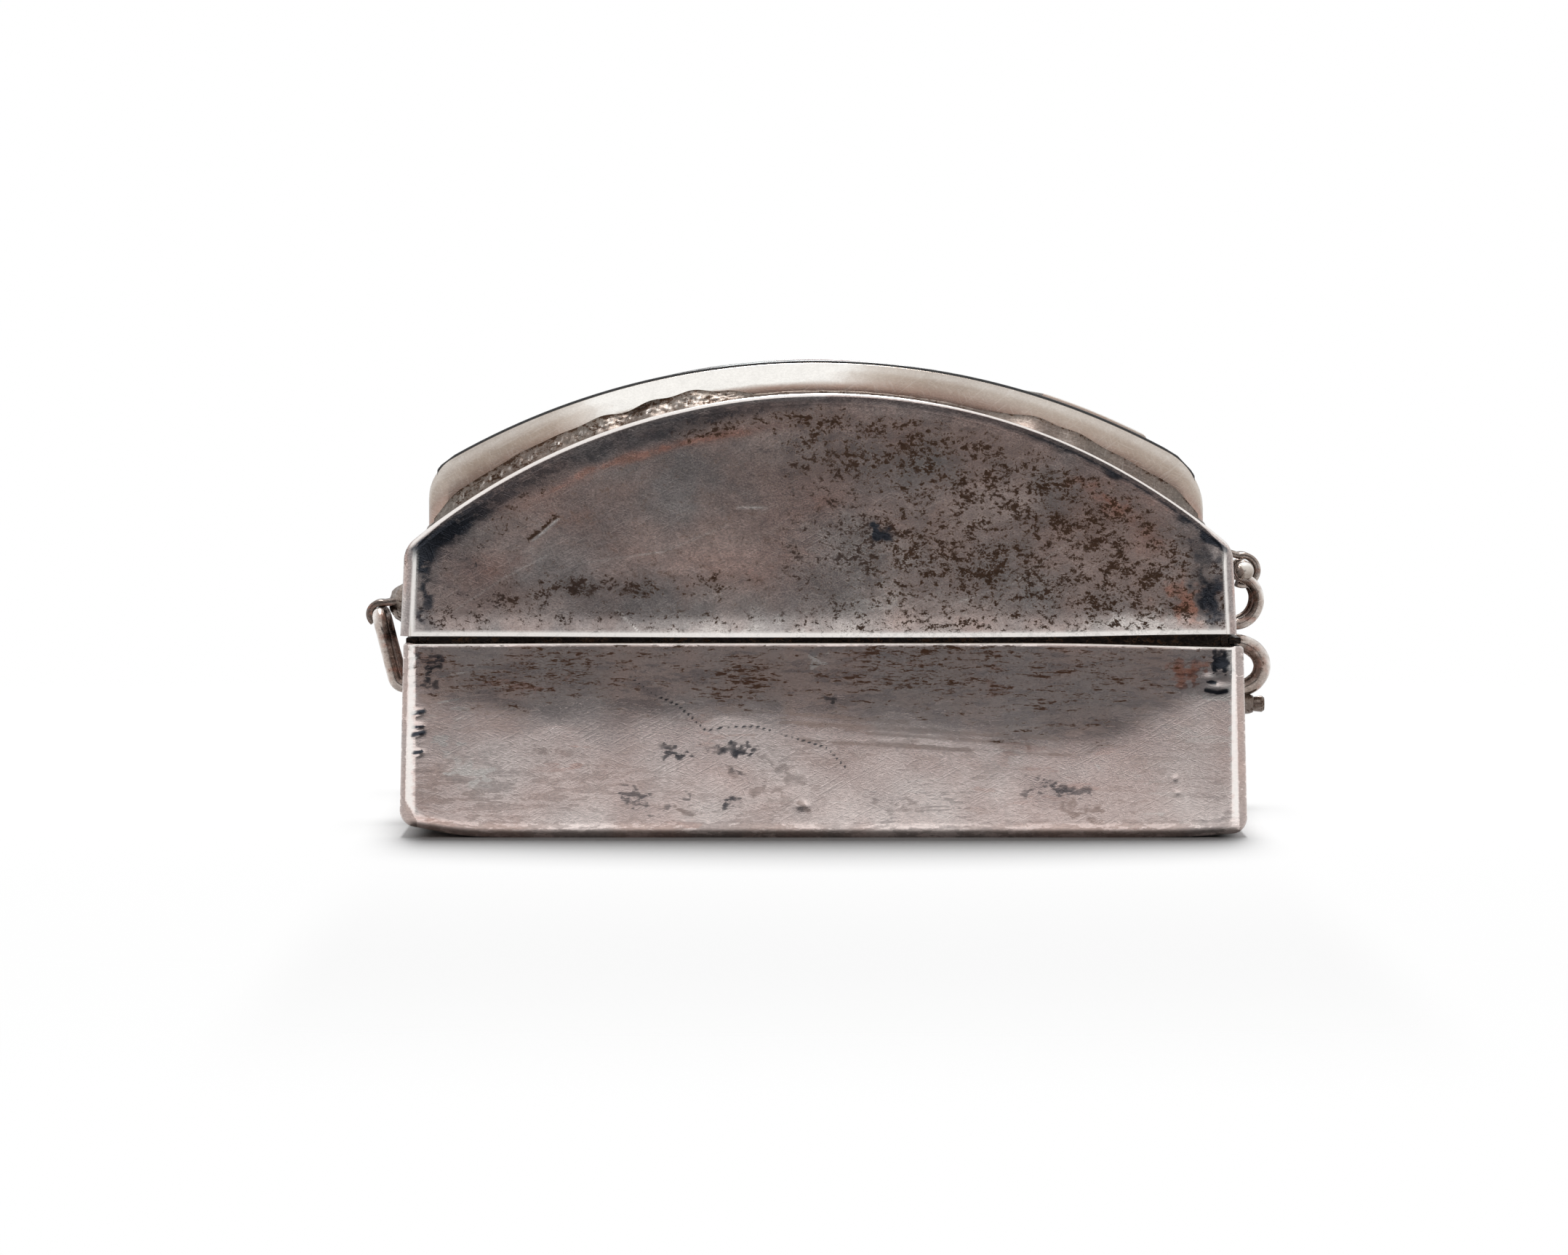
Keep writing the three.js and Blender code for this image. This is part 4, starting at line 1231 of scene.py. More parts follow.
    def build(self) -> None:
        """Makes the ends, sides and floor."""
        inset, soft, height = self.profile()
        walls = []
        for face, node in ((Face.FRONT, "tray_front_end"), (Face.BACK, "tray_back_end")):
            x, y = self.end_outline(inset, soft, face)
            z = np.broadcast_to(height, x.shape)
            points = self.swell(xyz(x, y, z), face)
            if face is Face.FRONT:
                points = self.nicks(points)
            walls.append((node, points, self.end_stains(x, y, z, face)))
        along = np.linspace(-self.joint, self.joint, 200)[:, None]
        for sign, node in ((-1, "tray_hinge_side"), (1, "tray_pull_side")):
            points = xyz(sign * (self.half_x - inset), along, height)
            walls.append((node, points, self.side_stains(points[..., 1], points[..., 2], sign)))
        for node, points, stains in walls:
            skin = Skin().tube(self.settle(points), stains)
            skin.piece(node + "_sheet", "tray", "silver_sheet", WIPED, node)
        self.build_floor()

    def build_floor(self) -> None:
        """Makes the floor: a level plate inside the rounded foot."""
        across = np.linspace(-1, 1, 60)[:, None] * (self.half_x - self.foot + 0.02)
        along = np.linspace(-1, 1, 70)[None] * (self.half_y - self.foot + 0.02)
        stains = weather(across, along, 4.4)
        under = self.settle(xyz(across, along, 0.0))
        skin = Skin().slab(xyz(across, along, self.floor_top), under, stains)
        skin.piece("tray_floor_plate", "tray", "silver_sheet", LINING, "tray_floor")


@dataclass
class Collar:
    """Four thin strips inside the tray's rim that guide the lid and show dark in the seam."""

    tray: Tray
    edge: float = 0.15
    lip: float = 0.6

    def build(self) -> None:
        """Makes each strip as a rounded bar carried along its length. Those on the long sides have a lip
        that lies on the tray's rim."""
        for place in ("front", "back", "hinge_side", "pull_side"):
            node = f"collar_{place}"
            low, high = box_mm(node)
            size = high - low
            middle = (low + high) / 2
            run = int(np.argmax(size[:2]))
            section = bar_section(size[1 - run], size[2], self.edge)
            path = np.repeat(middle[None], 40, axis=0)
            path[:, run] = np.linspace(low[run], high[run], 40)
            bars = [carry(section, path, (0, 0, 1))]
            if run == 1:
                path[:, 0] = np.sign(middle[0]) * (self.tray.half_x - self.tray.lean - 0.2 - self.lip)
                path[:, 2] = self.tray.height + 0.05
                bars.append(carry(bar_section(2 * self.lip, self.lip, self.edge), path, (0, 0, 1)))
            skin = Skin()
            for points in bars:
                brown = 0.5 * ripple(points[..., run], points[..., 2], 9)
                # Nearly black: tarnish, and painted shade of the seam
                skin.tube(points, {DARK: 0.85, BROWN: brown})
            skin.piece(node + "_strip", "tray", "dark_silver", SEAM, node)


@dataclass
class Lid:
    """The arched lid: one sheet bent over the arch and down both sides, with a plate at each end."""

    sheet: float = 1.0
    lean: float = 0.45
    shoulder_height: float = 8.9
    shoulder_round: float = 2.6
    roof_rise: float = 14.55
    arch_round: tuple[float, float] = (0.4, 0.22)
    wall_round: tuple[float, float] = (1.6, 1.25)
    shift: tuple[float, float] = (0.2, 0.75)
    curl: float = 0.22
    plate_lean: float = 0.36
    tuck: float = 0.02

    def __post_init__(self) -> None:
        """Takes the overall sizes from the frame."""
        low, high = box_mm("lid_roof")
        self.half_x, self.half_y, self.top = high
        self.bottom = low[2]
        shoulder = self.half_x - self.lean
        self.roof_radius = (shoulder**2 + self.roof_rise**2) / (2 * self.roof_rise)
        self.roof_centre = self.top - self.roof_radius

    def roof_height(self, x: Array, offset: float = 0.0) -> Array:
        """Height of the roof's outer face, or of a face parallel to it, where the lid is as it hangs."""
        drawn = x + self.drift(x + self.drift(x))
        return self.roof_centre + np.sqrt((self.roof_radius + offset) ** 2 - drawn**2)

    def drift(self, x: Array) -> Array:
        """How far each place of the lid sits towards the hinge side: most at the walls."""
        return self.shift[0] * smooth(-x, 10, 39) + self.shift[1] * smooth(x, 10, 39)

    def wall_x(self, z: Array) -> Array:
        """How far out the leaning wall's outer face is at a height."""
        return self.half_x - self.lean * np.clip((z - self.bottom) / self.shoulder_height, 0, 1.3)

    def half_outline(self, inset: Array) -> tuple[Array, Array]:
        """Half of the lid's section, drawn in by an inset: straight up the leaning wall, round the shoulder
        with a circle that touches wall and roof, and along the roof's circle to its top.

        Args:
            inset: how far in, one value for each column.

        Returns:
            X and Z on the pull side, with one row for each step from the wall's foot to the top.
        """
        inset = inset[None]
        length = np.hypot(self.lean, self.shoulder_height)
        up_x, up_z = -self.lean / length, self.shoulder_height / length
        in_x, in_z = -up_z, up_x
        radius = self.roof_radius - inset
        turn_radius = np.maximum(self.shoulder_round - inset, 0.1)
        slide = -in_z * inset / up_z
        foot_x = self.half_x + in_x * inset + up_x * slide
        foot_z = np.full_like(foot_x, self.bottom)
        base_x = foot_x + in_x * turn_radius
        base_z = foot_z + in_z * turn_radius - self.roof_centre
        half = base_x * up_x + base_z * up_z
        climb = -half + np.sqrt(half**2 - base_x**2 - base_z**2 + (radius - turn_radius) ** 2)
        centre_x = base_x + up_x * climb
        centre_z = base_z + up_z * climb
        wall_angle = np.arctan2(-in_z, -in_x)
        roof_angle = np.arctan2(centre_z, centre_x)
        share = np.linspace(0, 1, 44)[:, None]
        wall_x = foot_x + (centre_x - in_x * turn_radius - foot_x) * share
        wall_z = foot_z + (centre_z + self.roof_centre - in_z * turn_radius - foot_z) * share
        share = np.linspace(0, 1, 11)[1:, None]
        angle = wall_angle + (roof_angle - wall_angle) * share
        turn_x = centre_x + turn_radius * np.cos(angle)
        turn_z = centre_z + self.roof_centre + turn_radius * np.sin(angle)
        share = np.linspace(0, 1, 96)[1:, None]
        angle = roof_angle + (np.pi / 2 - roof_angle) * share
        roof_x = radius * np.cos(angle)
        roof_z = self.roof_centre + radius * np.sin(angle)
        return np.concatenate([wall_x, turn_x, roof_x]), np.concatenate([wall_z, turn_z, roof_z])

    def hang(self, points: Array) -> Array:
        """Sets the lid a little towards the hinge side, and bends its lower edge: a little lower in the
        middle of its ends, higher at the pull side.

        Args:
            points: a grid, changed in place.

        Returns:
            The same grid.
        """
        x, z = points[..., 0], points[..., 2]
        middle = 1 - smooth(np.abs(x), 8, 36)
        low = 1 - smooth(z, self.bottom, self.bottom + 4)
        points[..., 2] = z - (0.1 * middle - 0.2 * smooth(x, 20, 39)) * low
        points[..., 0] = x - self.drift(x)
        return points

    def depth(self, x: Array, z: Array) -> tuple[Array, Array]:
        """How far a point of an end lies in from the wall, and from the roof."""
        wall = self.wall_x(z) - np.abs(x)
        return wall, self.roof_radius - np.hypot(x, z - self.roof_centre)

    def end_stains(self, x: Array, z: Array, face: Face) -> Stains:
        """What an end carries: a film, a blue band of painted dark reflection and a rose line that follow
        the arch, brown specks, a pale strip of painted reflection of the floor along the lower edge,
        painted highlights along the rims, and painted shade where the plate turns to the walls.

        Args:
            x: places across.
            z: heights.
            face: which end.

        Returns:
            What each point carries.
        """
        wall, roof = self.depth(x, z)
        inside = np.minimum(wall, roof)
        stains = weather(x, z, 1.9)
        stains[DARK] = 0.9 + 0.25 * (ripple(x, z, 17, 0.9) - 0.4)
        stains[BROWN] = 0.1 + 0.38 * smooth(x, -6, 8)
        for stain in (ROSE, LIGHT, BLUE):
            stains[stain] *= 0.5
        # Painted dark reflection: a blue band inside the arch
        band = 0.9 + 1.5 * (1 - smooth(x, -16, 4)) + 0.5 * (ripple(x, z, 7, 2.9) - 0.5)
        strength = 0.48 + 0.15 * smooth(-x, 22, 34) + 0.3 * smooth(x, 12, 24)
        stains[BLUE] += strength * (1 - smooth(roof, band * 0.7, band * 1.3))
        line = roof - 3.1 - 0.5 * (ripple(x, z, 9, 0.3) - 0.5)
        streak = np.exp(-((line / 0.5) ** 2)) * np.exp(-(((x + 15) / 11) ** 4))
        stains[ROSE] += 0.75 * streak
        stains[BROWN] *= smooth(roof, 1.2, 2.4)
        if face is Face.FRONT:
            paint(stains, LID_MARKS, x, z)
        reach = np.where(x < 0, *self.wall_round)
        arch = np.where(x < 0, *self.arch_round)
        # Painted highlights along the arch and the walls, and painted reflection of the floor along the
        # lower edge
        arch_rim = 1 - smooth(roof, 0.6 * arch, arch)
        wall_rim = smooth(wall, 0.5 * reach, 0.58 * reach) * (1 - smooth(wall, 0.78 * reach, 0.92 * reach))
        by_wall = smooth(roof - wall, -0.6, 0.8)
        low_rim = 1 - smooth(z, self.bottom + 0.3, self.bottom + 0.6)
        rim = np.maximum(wall_rim * by_wall, arch_rim * (1 - by_wall))
        # Painted shade where the plate turns to the walls
        turned = (1 - smooth(wall, 0.5 * reach, 0.56 * reach)) * by_wall
        for stain in (BROWN, BLUE, LIGHT, ROSE):
            stains[stain] = stains[stain] * (1 - turned) * smooth(inside, 0.25, 0.55)
        stains[DARK] = stains[DARK] * (1 - turned) * smooth(inside, 0.1, 0.9) + 0.85 * turned
        stains[EDGE] = np.maximum(stains[EDGE], 0.8 * np.maximum(rim, low_rim * (1 - turned)))
        return stains

    def pillow(self, x: Array, z: Array) -> Array:
        """How far an end plate lies back from its flat: it leans back a little, curls under at its lower
        edge, rounds over to the walls by quarter circles, and is unevenly planished.

        Args:
            x: places across.
            z: heights.

        Returns:
            The depths.
        """
        uneven = 0.08 * ripple(x, z, 37, 3.1) + 0.03 * ripple(x, z, 14, 1.4)
        curl = self.curl * (1 - smooth(z, self.bottom - 0.3, self.bottom + 2.6)) ** 2
        lean = self.plate_lean * (z - self.bottom) / (self.top - self.bottom)
        wall = self.depth(x, z)[0]
        round_x = np.where(x < 0, fall(wall, self.wall_round[0]), fall(wall, self.wall_round[1]))
        return (uneven + lean) * smooth(wall, 1.0, 2.4) + curl + round_x

    def build(self) -> None:
        """Makes the roof sheet and the two end plates."""
        self.build_roof()
        edge_x, edge_z = self.half_outline(np.array([self.sheet - self.tuck]))
        x = edge_x * np.linspace(-1, 1, 421)[None]
        z = np.broadcast_to(edge_z, x.shape)
        for face, node in ((Face.FRONT, "lid_front_end"), (Face.BACK, "lid_back_end")):
            points = self.hang(xyz(x, face.value * (self.half_y - self.pillow(x, z)), z))
            back = face.value * (self.half_y - self.sheet)
            skin = Skin().plate(points, back, self.end_stains(x, z, face))
            skin.piece(node + "_plate", "lid", "silver_sheet", SHEET, node)

    def build_roof(self) -> None:
        """Makes the bent sheet: its section, a bar with rounded edges, is carried along the lid's outline.
        The edges are rounder at the walls than at the arch."""
        along = np.linspace(-1, 1, 90)[1:-1] * (self.half_y - max(self.wall_round))
        edge = self.sheet - self.tuck
        shapes = []
        for radius in (*self.wall_round, *self.arch_round):
            turn = np.linspace(0, np.arccos(max(1 - edge / radius, 0)), 10)
            near = radius * (1 - np.cos(turn))
            near = np.concatenate([near, np.linspace(near[-1], edge, 3)[1:]])
            end = self.half_y - fall(near, radius)
            half_x, half_z = self.half_outline(np.concatenate([near[::-1], 0 * along, near]))
            shapes.append(xyz(half_x, np.concatenate([-end[::-1], along, end]), half_z))
        rows = np.arange(len(shapes[0]))[:, None, None]
        share = smooth(rows, 40, 62)
        left, right = (wall * (1 - share) + arch * share for wall, arch in zip(shapes[:2], shapes[2:]))
        middle = (left[-1:] + right[-1:]) / 2
        joined = smooth(rows, 90, len(rows) - 1)
        left, right = (half + (middle - half[-1:]) * joined for half in (left, right))
        whole = np.concatenate([left * (-1, 1, 1), right[:-1][::-1]])
        x, y, z = np.moveaxis(whole, -1, 0)
        girth = np.concatenate([[0], np.cumsum(np.hypot(np.diff(x[:, 50]), np.diff(z[:, 50])))])[:, None]
        stains = weather(y, girth, 0.2)
        at_end = smooth(np.abs(y), self.half_y - 0.75, self.half_y - 0.3)
        for face in Face:
            here = np.sign(y) == face.value
            ends = self.end_stains(x, z, face)
            for stain in Stain:
                mixed = stains[stain] * (1 - at_end) + ends[stain] * at_end
                stains[stain] = np.where(here, mixed, stains[stain])
        skin = Skin().tube(self.hang(whole), stains)
        skin.piece("lid_roof_sheet", "lid", "silver_sheet", SHEET, "lid_roof")


@dataclass
class Bezel:
    """The raised band that holds the inlay, and the solder that runs along its foot."""

    lid: Lid
    wall: float = 0.8
    corner: float = 2.0
    side_round: tuple[float, float] = (2.2, 3.2)
    crown_radius: float = 70.0
    push: float = 0.6
    top_round: float = 0.25
    lift: float = 0.1
    inner_depth: float = 1.4
    solder_behind: float = 0.4

    def __post_init__(self) -> None:
        """Takes the overall sizes from the frame."""
        low, high = box_mm("bezel")
        self.half_x = (high[0] - low[0]) / 2
        self.shift = (high[0] + low[0]) / 2
        self.half_y = high[1]
        self.top = high[2]

    def crown(self, x: Array, offset: float = 0.0) -> Array:
        """Height of the inlay's face: a wide arc whose two sides are rounded over by a quarter circle.

        Args:
            x: places across the lid.
            offset: how far above or below the face.

        Returns:
            The heights.
        """
        across = np.abs(x - self.shift)
        radius = np.where(x < self.shift, *self.side_round)
        past = np.clip(across - (self.half_x - radius), 0, radius)
        arc = self.top - self.crown_radius + np.sqrt(self.crown_radius**2 - across**2)
        return arc + offset - radius + np.sqrt(radius**2 - past**2)

    def outline(self, inset: Array) -> tuple[Array, Array]:
        """The bezel's plan, a rectangle with round corners, drawn in by an inset.

        Args:
            inset: how far in, one value for each column.

        Returns:
            X and Y, with one row for each step round the plan.
        """
        inset = inset[None]
        radius = np.maximum(self.corner - inset, 0.15)
        reach_x = self.half_x - inset - radius
        reach_y = self.half_y - inset - radius
        turn = np.linspace(0, np.pi / 2, 9)[:, None]
        run_x = np.linspace(1, -1, 130)[1:-1, None]
        run_y = np.linspace(1, -1, 60)[1:-1, None]
        half = (
            (reach_x + radius * np.cos(turn), reach_y + radius * np.sin(turn)),
            (reach_x * run_x, reach_y + radius),
            (-reach_x - radius * np.sin(turn), reach_y + radius * np.cos(turn)),
            (-reach_x - radius, reach_y * run_y),
        )
        x, y = (np.concatenate(part) for part in zip(*(np.broadcast_arrays(*pair) for pair in half)))
        return np.concatenate([x, -x]) + self.shift, np.concatenate([y, -y])

    def band_stains(self, x: Array, y: Array, share: Array) -> Stains:
        """What the band carries: a painted highlight along its middle, and painted shade towards its ends
        and at its foot.

        Args:
            x: places across.
            y: places along.
            share: height on the band, from 0 at its foot to 1 at its top.

        Returns:
            What each point carries.
        """
        stains = weather(x + y, share * 4, 3.1)
        middle = smooth(x, -26, -18) * (1 - smooth(x, -2, 7))
        low = 1 - smooth(share, 0.1, 0.75)
        # Painted highlight along the middle and near the top
        stains[LIGHT] = middle * smooth(share, 0.25, 0.5) + 0.3 * smooth(share, 0.7, 0.95)
        ends = 1.7 * smooth(-x, 20, 32) + smooth(x, 0, 12)
        # Painted shade towards the foot and the ends
        stains[DARK] = 0.2 * stains[DARK] + 0.5 * low + 0.3 * ends
        stains[ROSE] = 0.35 * low
        for stain in (BROWN, BLUE, EDGE):
            stains[stain] = 0 * low
        return stains

    def build(self) -> None:
        """Makes the band, pushed over the stones as a burnisher leaves it, and its solder."""
        share = np.linspace(0, 1, 21)
        turn = np.linspace(0, np.pi, 9)[1:]
        half = (self.wall - self.push) / 2
        lip_in = self.wall - half - half * np.cos(turn)
        inset = np.concatenate([self.push * share**1.9, lip_in, [self.wall]])
        over = self.top_round * (np.sin(turn) - 1)
        over = np.concatenate([np.full_like(share, -self.top_round), over, [-self.inner_depth]])
        x, y = self.outline(inset)
        upright = np.concatenate([0 * share, self.wall * (1 - np.cos(turn)) / 2, [self.wall]])
        straight = self.outline(upright)[0]
        x = x + (straight - x) * smooth(np.abs(straight - self.shift), self.half_x - 6, self.half_x - 2)
        top = self.crown(x) + over + self.lift
        foot = self.lid.roof_height(x)
        rise = np.concatenate([share, np.ones(len(turn) + 1)])
        z = foot + (top - foot) * rise
        stains = self.band_stains(x, y, np.broadcast_to(rise, x.shape))
        lip = np.concatenate([0 * share, [0, 0, 0.6], np.ones(len(turn) - 2)])
        # The top lip is darkened, and the light cover is kept off it
        stains[DARK] = np.maximum(stains[DARK], lip)
        stains[LIGHT] *= 1 - lip
        bottom = xyz(x[:, -1:], y[:, -1:], foot[:, :1])
        points = np.concatenate([xyz(x, y, z), bottom], axis=1)
        stains = {stain: np.pad(value, ((0, 0), (0, 1)), mode="edge") for stain, value in stains.items()}
        skin = Skin().grid(points, stains, round_rows=True, round_columns=True)
        skin.piece("bezel_band", "lid", "bright_silver", BURNISHED_HIGHLIT, "bezel")
        self.build_fillet()
        for face in Face:
            self.build_solder(face)

    def build_fillet(self) -> None:
        """Makes the thin line of solder along the band's foot: a round bead carried round its outline. Its
        dark colour is partly the solder's own and partly painted shade along the foot.
        """
        x, y = self.outline(np.zeros(1))
        path = np.concatenate([x, y, self.lid.roof_height(x)], axis=1)
        ahead = np.roll(path, -1, axis=0) - np.roll(path, 1, axis=0)
        out = unit(np.column_stack([ahead[:, 1], -ahead[:, 0], 0 * x[:, 0]]))
        out *= np.sign(np.sum(out[:, :2] * (path[:, :2] - (self.shift, 0))))
        turn = np.linspace(0, 2 * np.pi, 10, endpoint=False)
        size = 0.3 + 0.12 * (ripple(x, y, 6, 1.6) - 0.5)
        points = path[:, None] + (size * np.cos(turn))[..., None] * out[:, None]
        points[..., 2] = self.lid.roof_height(points[..., 0]) + size * np.sin(turn)
        skin = Skin().grid(points, {DARK: 0.7, BROWN: 0.3}, round_rows=True, round_columns=True)
        skin.piece("bezel_fillet", "lid", "silver_sheet", SOLDER)

    def build_solder(self, face: Face) -> None:
        """Makes the solder that has run out along the foot at an end: a lumpy slope from the band down to
        the lid's edge, high and pitted towards the hinge side, lower and smoother towards the pull side,
        and next to nothing in the middle. Its hole, its pits and its top under the band carry painted
        shade.

        Args:
            face: which end.
        """
        x = np.linspace(-self.half_x + 0.6, self.half_x - 0.6, 460)[:, None] + self.shift
        share = np.linspace(0, 1, 13)[None]
        left = smooth(-x, 5, 12) * (1 - smooth(-x, 34, 38))
        right = smooth(x, 13, 22) * (1 - smooth(x, 33, 37))
        wander = ripple(x, 0 * x, 11, 0.6)
        height = 0.25 + left * (1.0 + 0.5 * wander) + right * (0.95 + 0.3 * wander)
        lumps = ripple(x, 4 * share, 2.3, 1.8) - 0.5 + 0.8 * (ripple(x, 3 * share, 0.8, 2.4) - 0.5)
        lumps = lumps * np.sin(np.pi * np.clip(share * 1.1, 0, 1)) * (0.02 + 0.28 * left)
        hole = np.exp(-(((x + 16.8) / 2.0) ** 4)) * smooth(share, 0.45, 0.8)
        out = 0.15 + 1.2 * (1 - share) ** 1.2 * (height - 0.25) + 0.35 * lumps - 0.5 * hole
        y = self.half_y + np.clip(out, 0.02, 2.0)
        z = self.lid.roof_height(x) - 0.04 + height * share + 0.25 * lumps
        teeth = smooth(ripple(2.2 * x, share, 1.7, 3.3), 0.62, 0.85)
        teeth = teeth * np.exp(-(((share - 0.45) / 0.22) ** 2))
        pits = smooth(-lumps, 0.05, 0.3)
        # Painted shade in the hole, the pits and the top under the band, laid as brown
        stains = {
            DARK: 0.9 + 0.1 * smooth(share, 0.4, 0.8),
            BROWN: 0.4 * left + 0.9 * hole + 0.5 * pits + 0.6 * smooth(share, 0.7, 1.0),
            LIGHT: 0.55 * left * teeth,
        }
        behind = face.value * (self.half_y - self.solder_behind)
        foot = xyz(x, behind, self.lid.roof_height(x) - 0.2)
        points = np.concatenate([foot, xyz(x, face.value * y, z), xyz(x, behind, z[:, -1:])], axis=1)
        stains = spread(stains, z.shape)
        stains = {stain: np.pad(value, ((0, 0), (1, 1)), mode="edge") for stain, value in stains.items()}
        skin = Skin().tube(points, stains)
        skin.piece(f"bezel_solder_{face.name.lower()}", "lid", "silver_sheet", SOLDER)


@dataclass
class Inlay:
    """The stones, the silver rims and channels between them, and the bed that they lie on."""

    bezel: Bezel
    thickness: float = 1.2
    raised: float = 0.3
    field: float = 0.36
    proud: float = 0.7
    stone_round: float = 0.1
    wire_round: float = 0.4
    rim: float = 0.9
    channel: float = 0.6
    band: float = 5.0
    bar_sunk: float = 0.2
    gap: float = 0.1

    def stone(self, node: str, corners: Array, raised: float, slot: str, material: Material) -> None:
        """Makes a stone on a four-cornered plan: a grid between the corners, lifted to the inlay's face,
        with its edges eased by a quarter circle.

        Args:
            node: the CAD node that it replaces.
            corners: the plan's corners, in order.
            raised: how far above the inlay's face.
            slot: the record's material slot.
            material: its finish.
        """
        sides = np.linalg.norm(np.roll(corners, -1, axis=0) - corners, axis=1)
        longest = (sides[[0, 2]].max(), sides[[1, 3]].max())
        first, second = (eased(max(8, int(side / 1.2)), 0.4, side)[:, None] for side in longest)
        near = corners[0] * (1 - first) + corners[1] * first
        far = corners[3] * (1 - first) + corners[2] * first
        plan = near[:, None] * (1 - second) + far[:, None] * second
        edge = np.full(plan.shape[:2], np.inf)
        for start, end in zip(corners, np.roll(corners, -1, axis=0)):
            run = (end - start) / np.linalg.norm(end - start)
            square = np.abs((plan[..., 0] - start[0]) * run[1] - (plan[..., 1] - start[1]) * run[0])
            edge = np.minimum(edge, square)
        top = self.bezel.crown(plan[..., 0], raised) - fall(edge, self.stone_round)
        under = self.bezel.crown(plan[..., 0], -self.thickness)
        skin = Skin().slab(np.dstack([plan, top]), np.dstack([plan, under]))
        skin.piece(node + "_stone", "lid", slot, material, node)

    def runs(self, corners: Array) -> Array:
        """Lays points along a closed outline, 40 to a side.

        Args:
            corners: the outline's corners, in order.

        Returns:
            The points, one row each.
        """
        share = np.linspace(0, 1, 40, endpoint=False)[:, None]
        after = np.roll(corners, -1, axis=0)
        return (corners[:, None] * (1 - share) + after[:, None] * share).reshape(-1, 2)

    def between(self, outer: Array, inner: Array, across: Array, over: Array) -> Array:
        """Carries a section round between two outlines with the same corners.

        Args:
            outer: corners of the outer outline.
            inner: corners of the inner outline.
            across: the section's places, from 0 at the outer outline to 1 at the inner one.
            over: its heights above the inlay's face.

        Returns:
            A grid with one row for each step round the outlines.
        """
        share = across[:, None]
        plan = self.runs(outer)[:, None] * (1 - share) + self.runs(inner)[:, None] * share
        return np.dstack([plan, self.bezel.crown(plan[..., 0]) + over])

    def half_round(self, raised: float) -> tuple[Array, Array]:
        """The section of a strip that is half round on top.

        Args:
            raised: how far above the inlay's face.

        Returns:
            Its places across, from 0 to 1, and its heights above the inlay's face.
        """
        turn = np.linspace(0, np.pi, 9)
        over = raised - self.wire_round * (1 - np.sin(turn))
        across = np.concatenate([[0], 0.5 - 0.5 * np.cos(turn), [1]])
        return across, np.pad(over, 1, constant_values=-self.thickness)

    def ring(self, node: str, outer: Array, inner: Array, raised: float) -> None:
        """Makes a silver strip between two outlines with the same corners, half round on top.

        Args:
            node: the CAD node that it replaces.
            outer: corners of the outer outline.
            inner: corners of the inner outline.
            raised: how far above the inlay's face.
        """
        across, over = self.half_round(raised)
        points = self.between(outer, inner, across, over)
        stains = weather(points[..., 0], points[..., 1], 5.5)
        for stain in (BROWN, BLUE, ROSE):
            stains[stain] *= 0.4
        stains[DARK] = 0.35 + 0.6 * (1 - smooth(over, raised - 0.3, raised))
        stains[LIGHT] = 0.8 * smooth(over, raised - 0.15, raised)
        skin = Skin().grid(points, stains, round_rows=True, round_columns=True)
        skin.piece(node + "_strip", "lid", "bright_silver", BURNISHED_HIGHLIT, node)

    def rectangle(self, node: str, grow: float = 0.0) -> Array:
        """The corners of a node's plan, from its box.

        Args:
            node: the CAD node.
            grow: how far the corners move outwards.

        Returns:
            Four points, one row each.
        """
        low, high = box_mm(node)
        low, high = low - grow, high + grow
        return np.array([(low[0], low[1]), (high[0], low[1]), (high[0], high[1]), (low[0], high[1])])

    def lozenge(self, node: str, drawn: float = 0.0) -> Array:
        """The corners of a node's lozenge, from its box, drawn in square to its sides.

        Args:
            node: the CAD node.
            drawn: how far the sides move inwards.

        Returns:
            Four points, one row each.
        """
        low, high = box_mm(node)
        middle, half = (low + high)[:2] / 2, (high - low)[:2] / 2
        keep = 1 - drawn * np.hypot(*half) / (half[0] * half[1])
        step_x, step_y = np.array([half[0] * keep, 0]), np.array([0, half[1] * keep])
        return np.array([middle + step_x, middle + step_y, middle - step_x, middle - step_y])

    def build(self) -> None:
        """Makes the bed, the jet field, and the two raised panels."""
        self.build_bed()
        for place in ("front", "back", "hinge_side", "middle", "pull_side"):
            node = f"field_{place}"
            self.stone(node, self.rectangle(node, self.gap / 2), self.field, "jet", JET)
        for node, raised in (("main_rim", self.raised), ("bar_rim", self.proud)):
            self.ring(node, self.rectangle(node), self.rectangle(node, -self.rim), raised)
        for node in ("outer_channel", "inner_channel"):
            self.ring(node, self.lozenge(node), self.lozenge(node, self.channel), self.raised)
        self.build_band()
        self.stone("lozenge_heart", self.lozenge("lozenge_heart"), self.raised, "turquoise", TURQUOISE)
        self.build_corners()
        for number in range(1, 6):
            slot, material = ("turquoise", TURQUOISE) if number % 2 else ("jet", JET)
            node = f"bar_{number}"
            self.stone(node, self.rectangle(node), self.proud - self.bar_sunk, slot, material)
        for number in range(1, 5):
            self.strip(f"bar_channel_{number}")

    def strip(self, node: str) -> None:
        """Makes a short straight channel between two bars, half round on top.

        Args:
            node: the CAD node that it replaces.
        """
        low, high = box_mm(node)
        across, over = self.half_round(self.raised)
        x = np.linspace(low[0], high[0], 16)[:, None]
        points = xyz(x, low[1] + (high[1] - low[1]) * across, self.bezel.crown(x) + over)
        skin = Skin().tube(points, {DARK: 0.4, LIGHT: 0.8 * smooth(over, 0.15, 0.4)})
        skin.piece(node + "_strip", "lid", "bright_silver", BURNISHED_HIGHLIT, node)

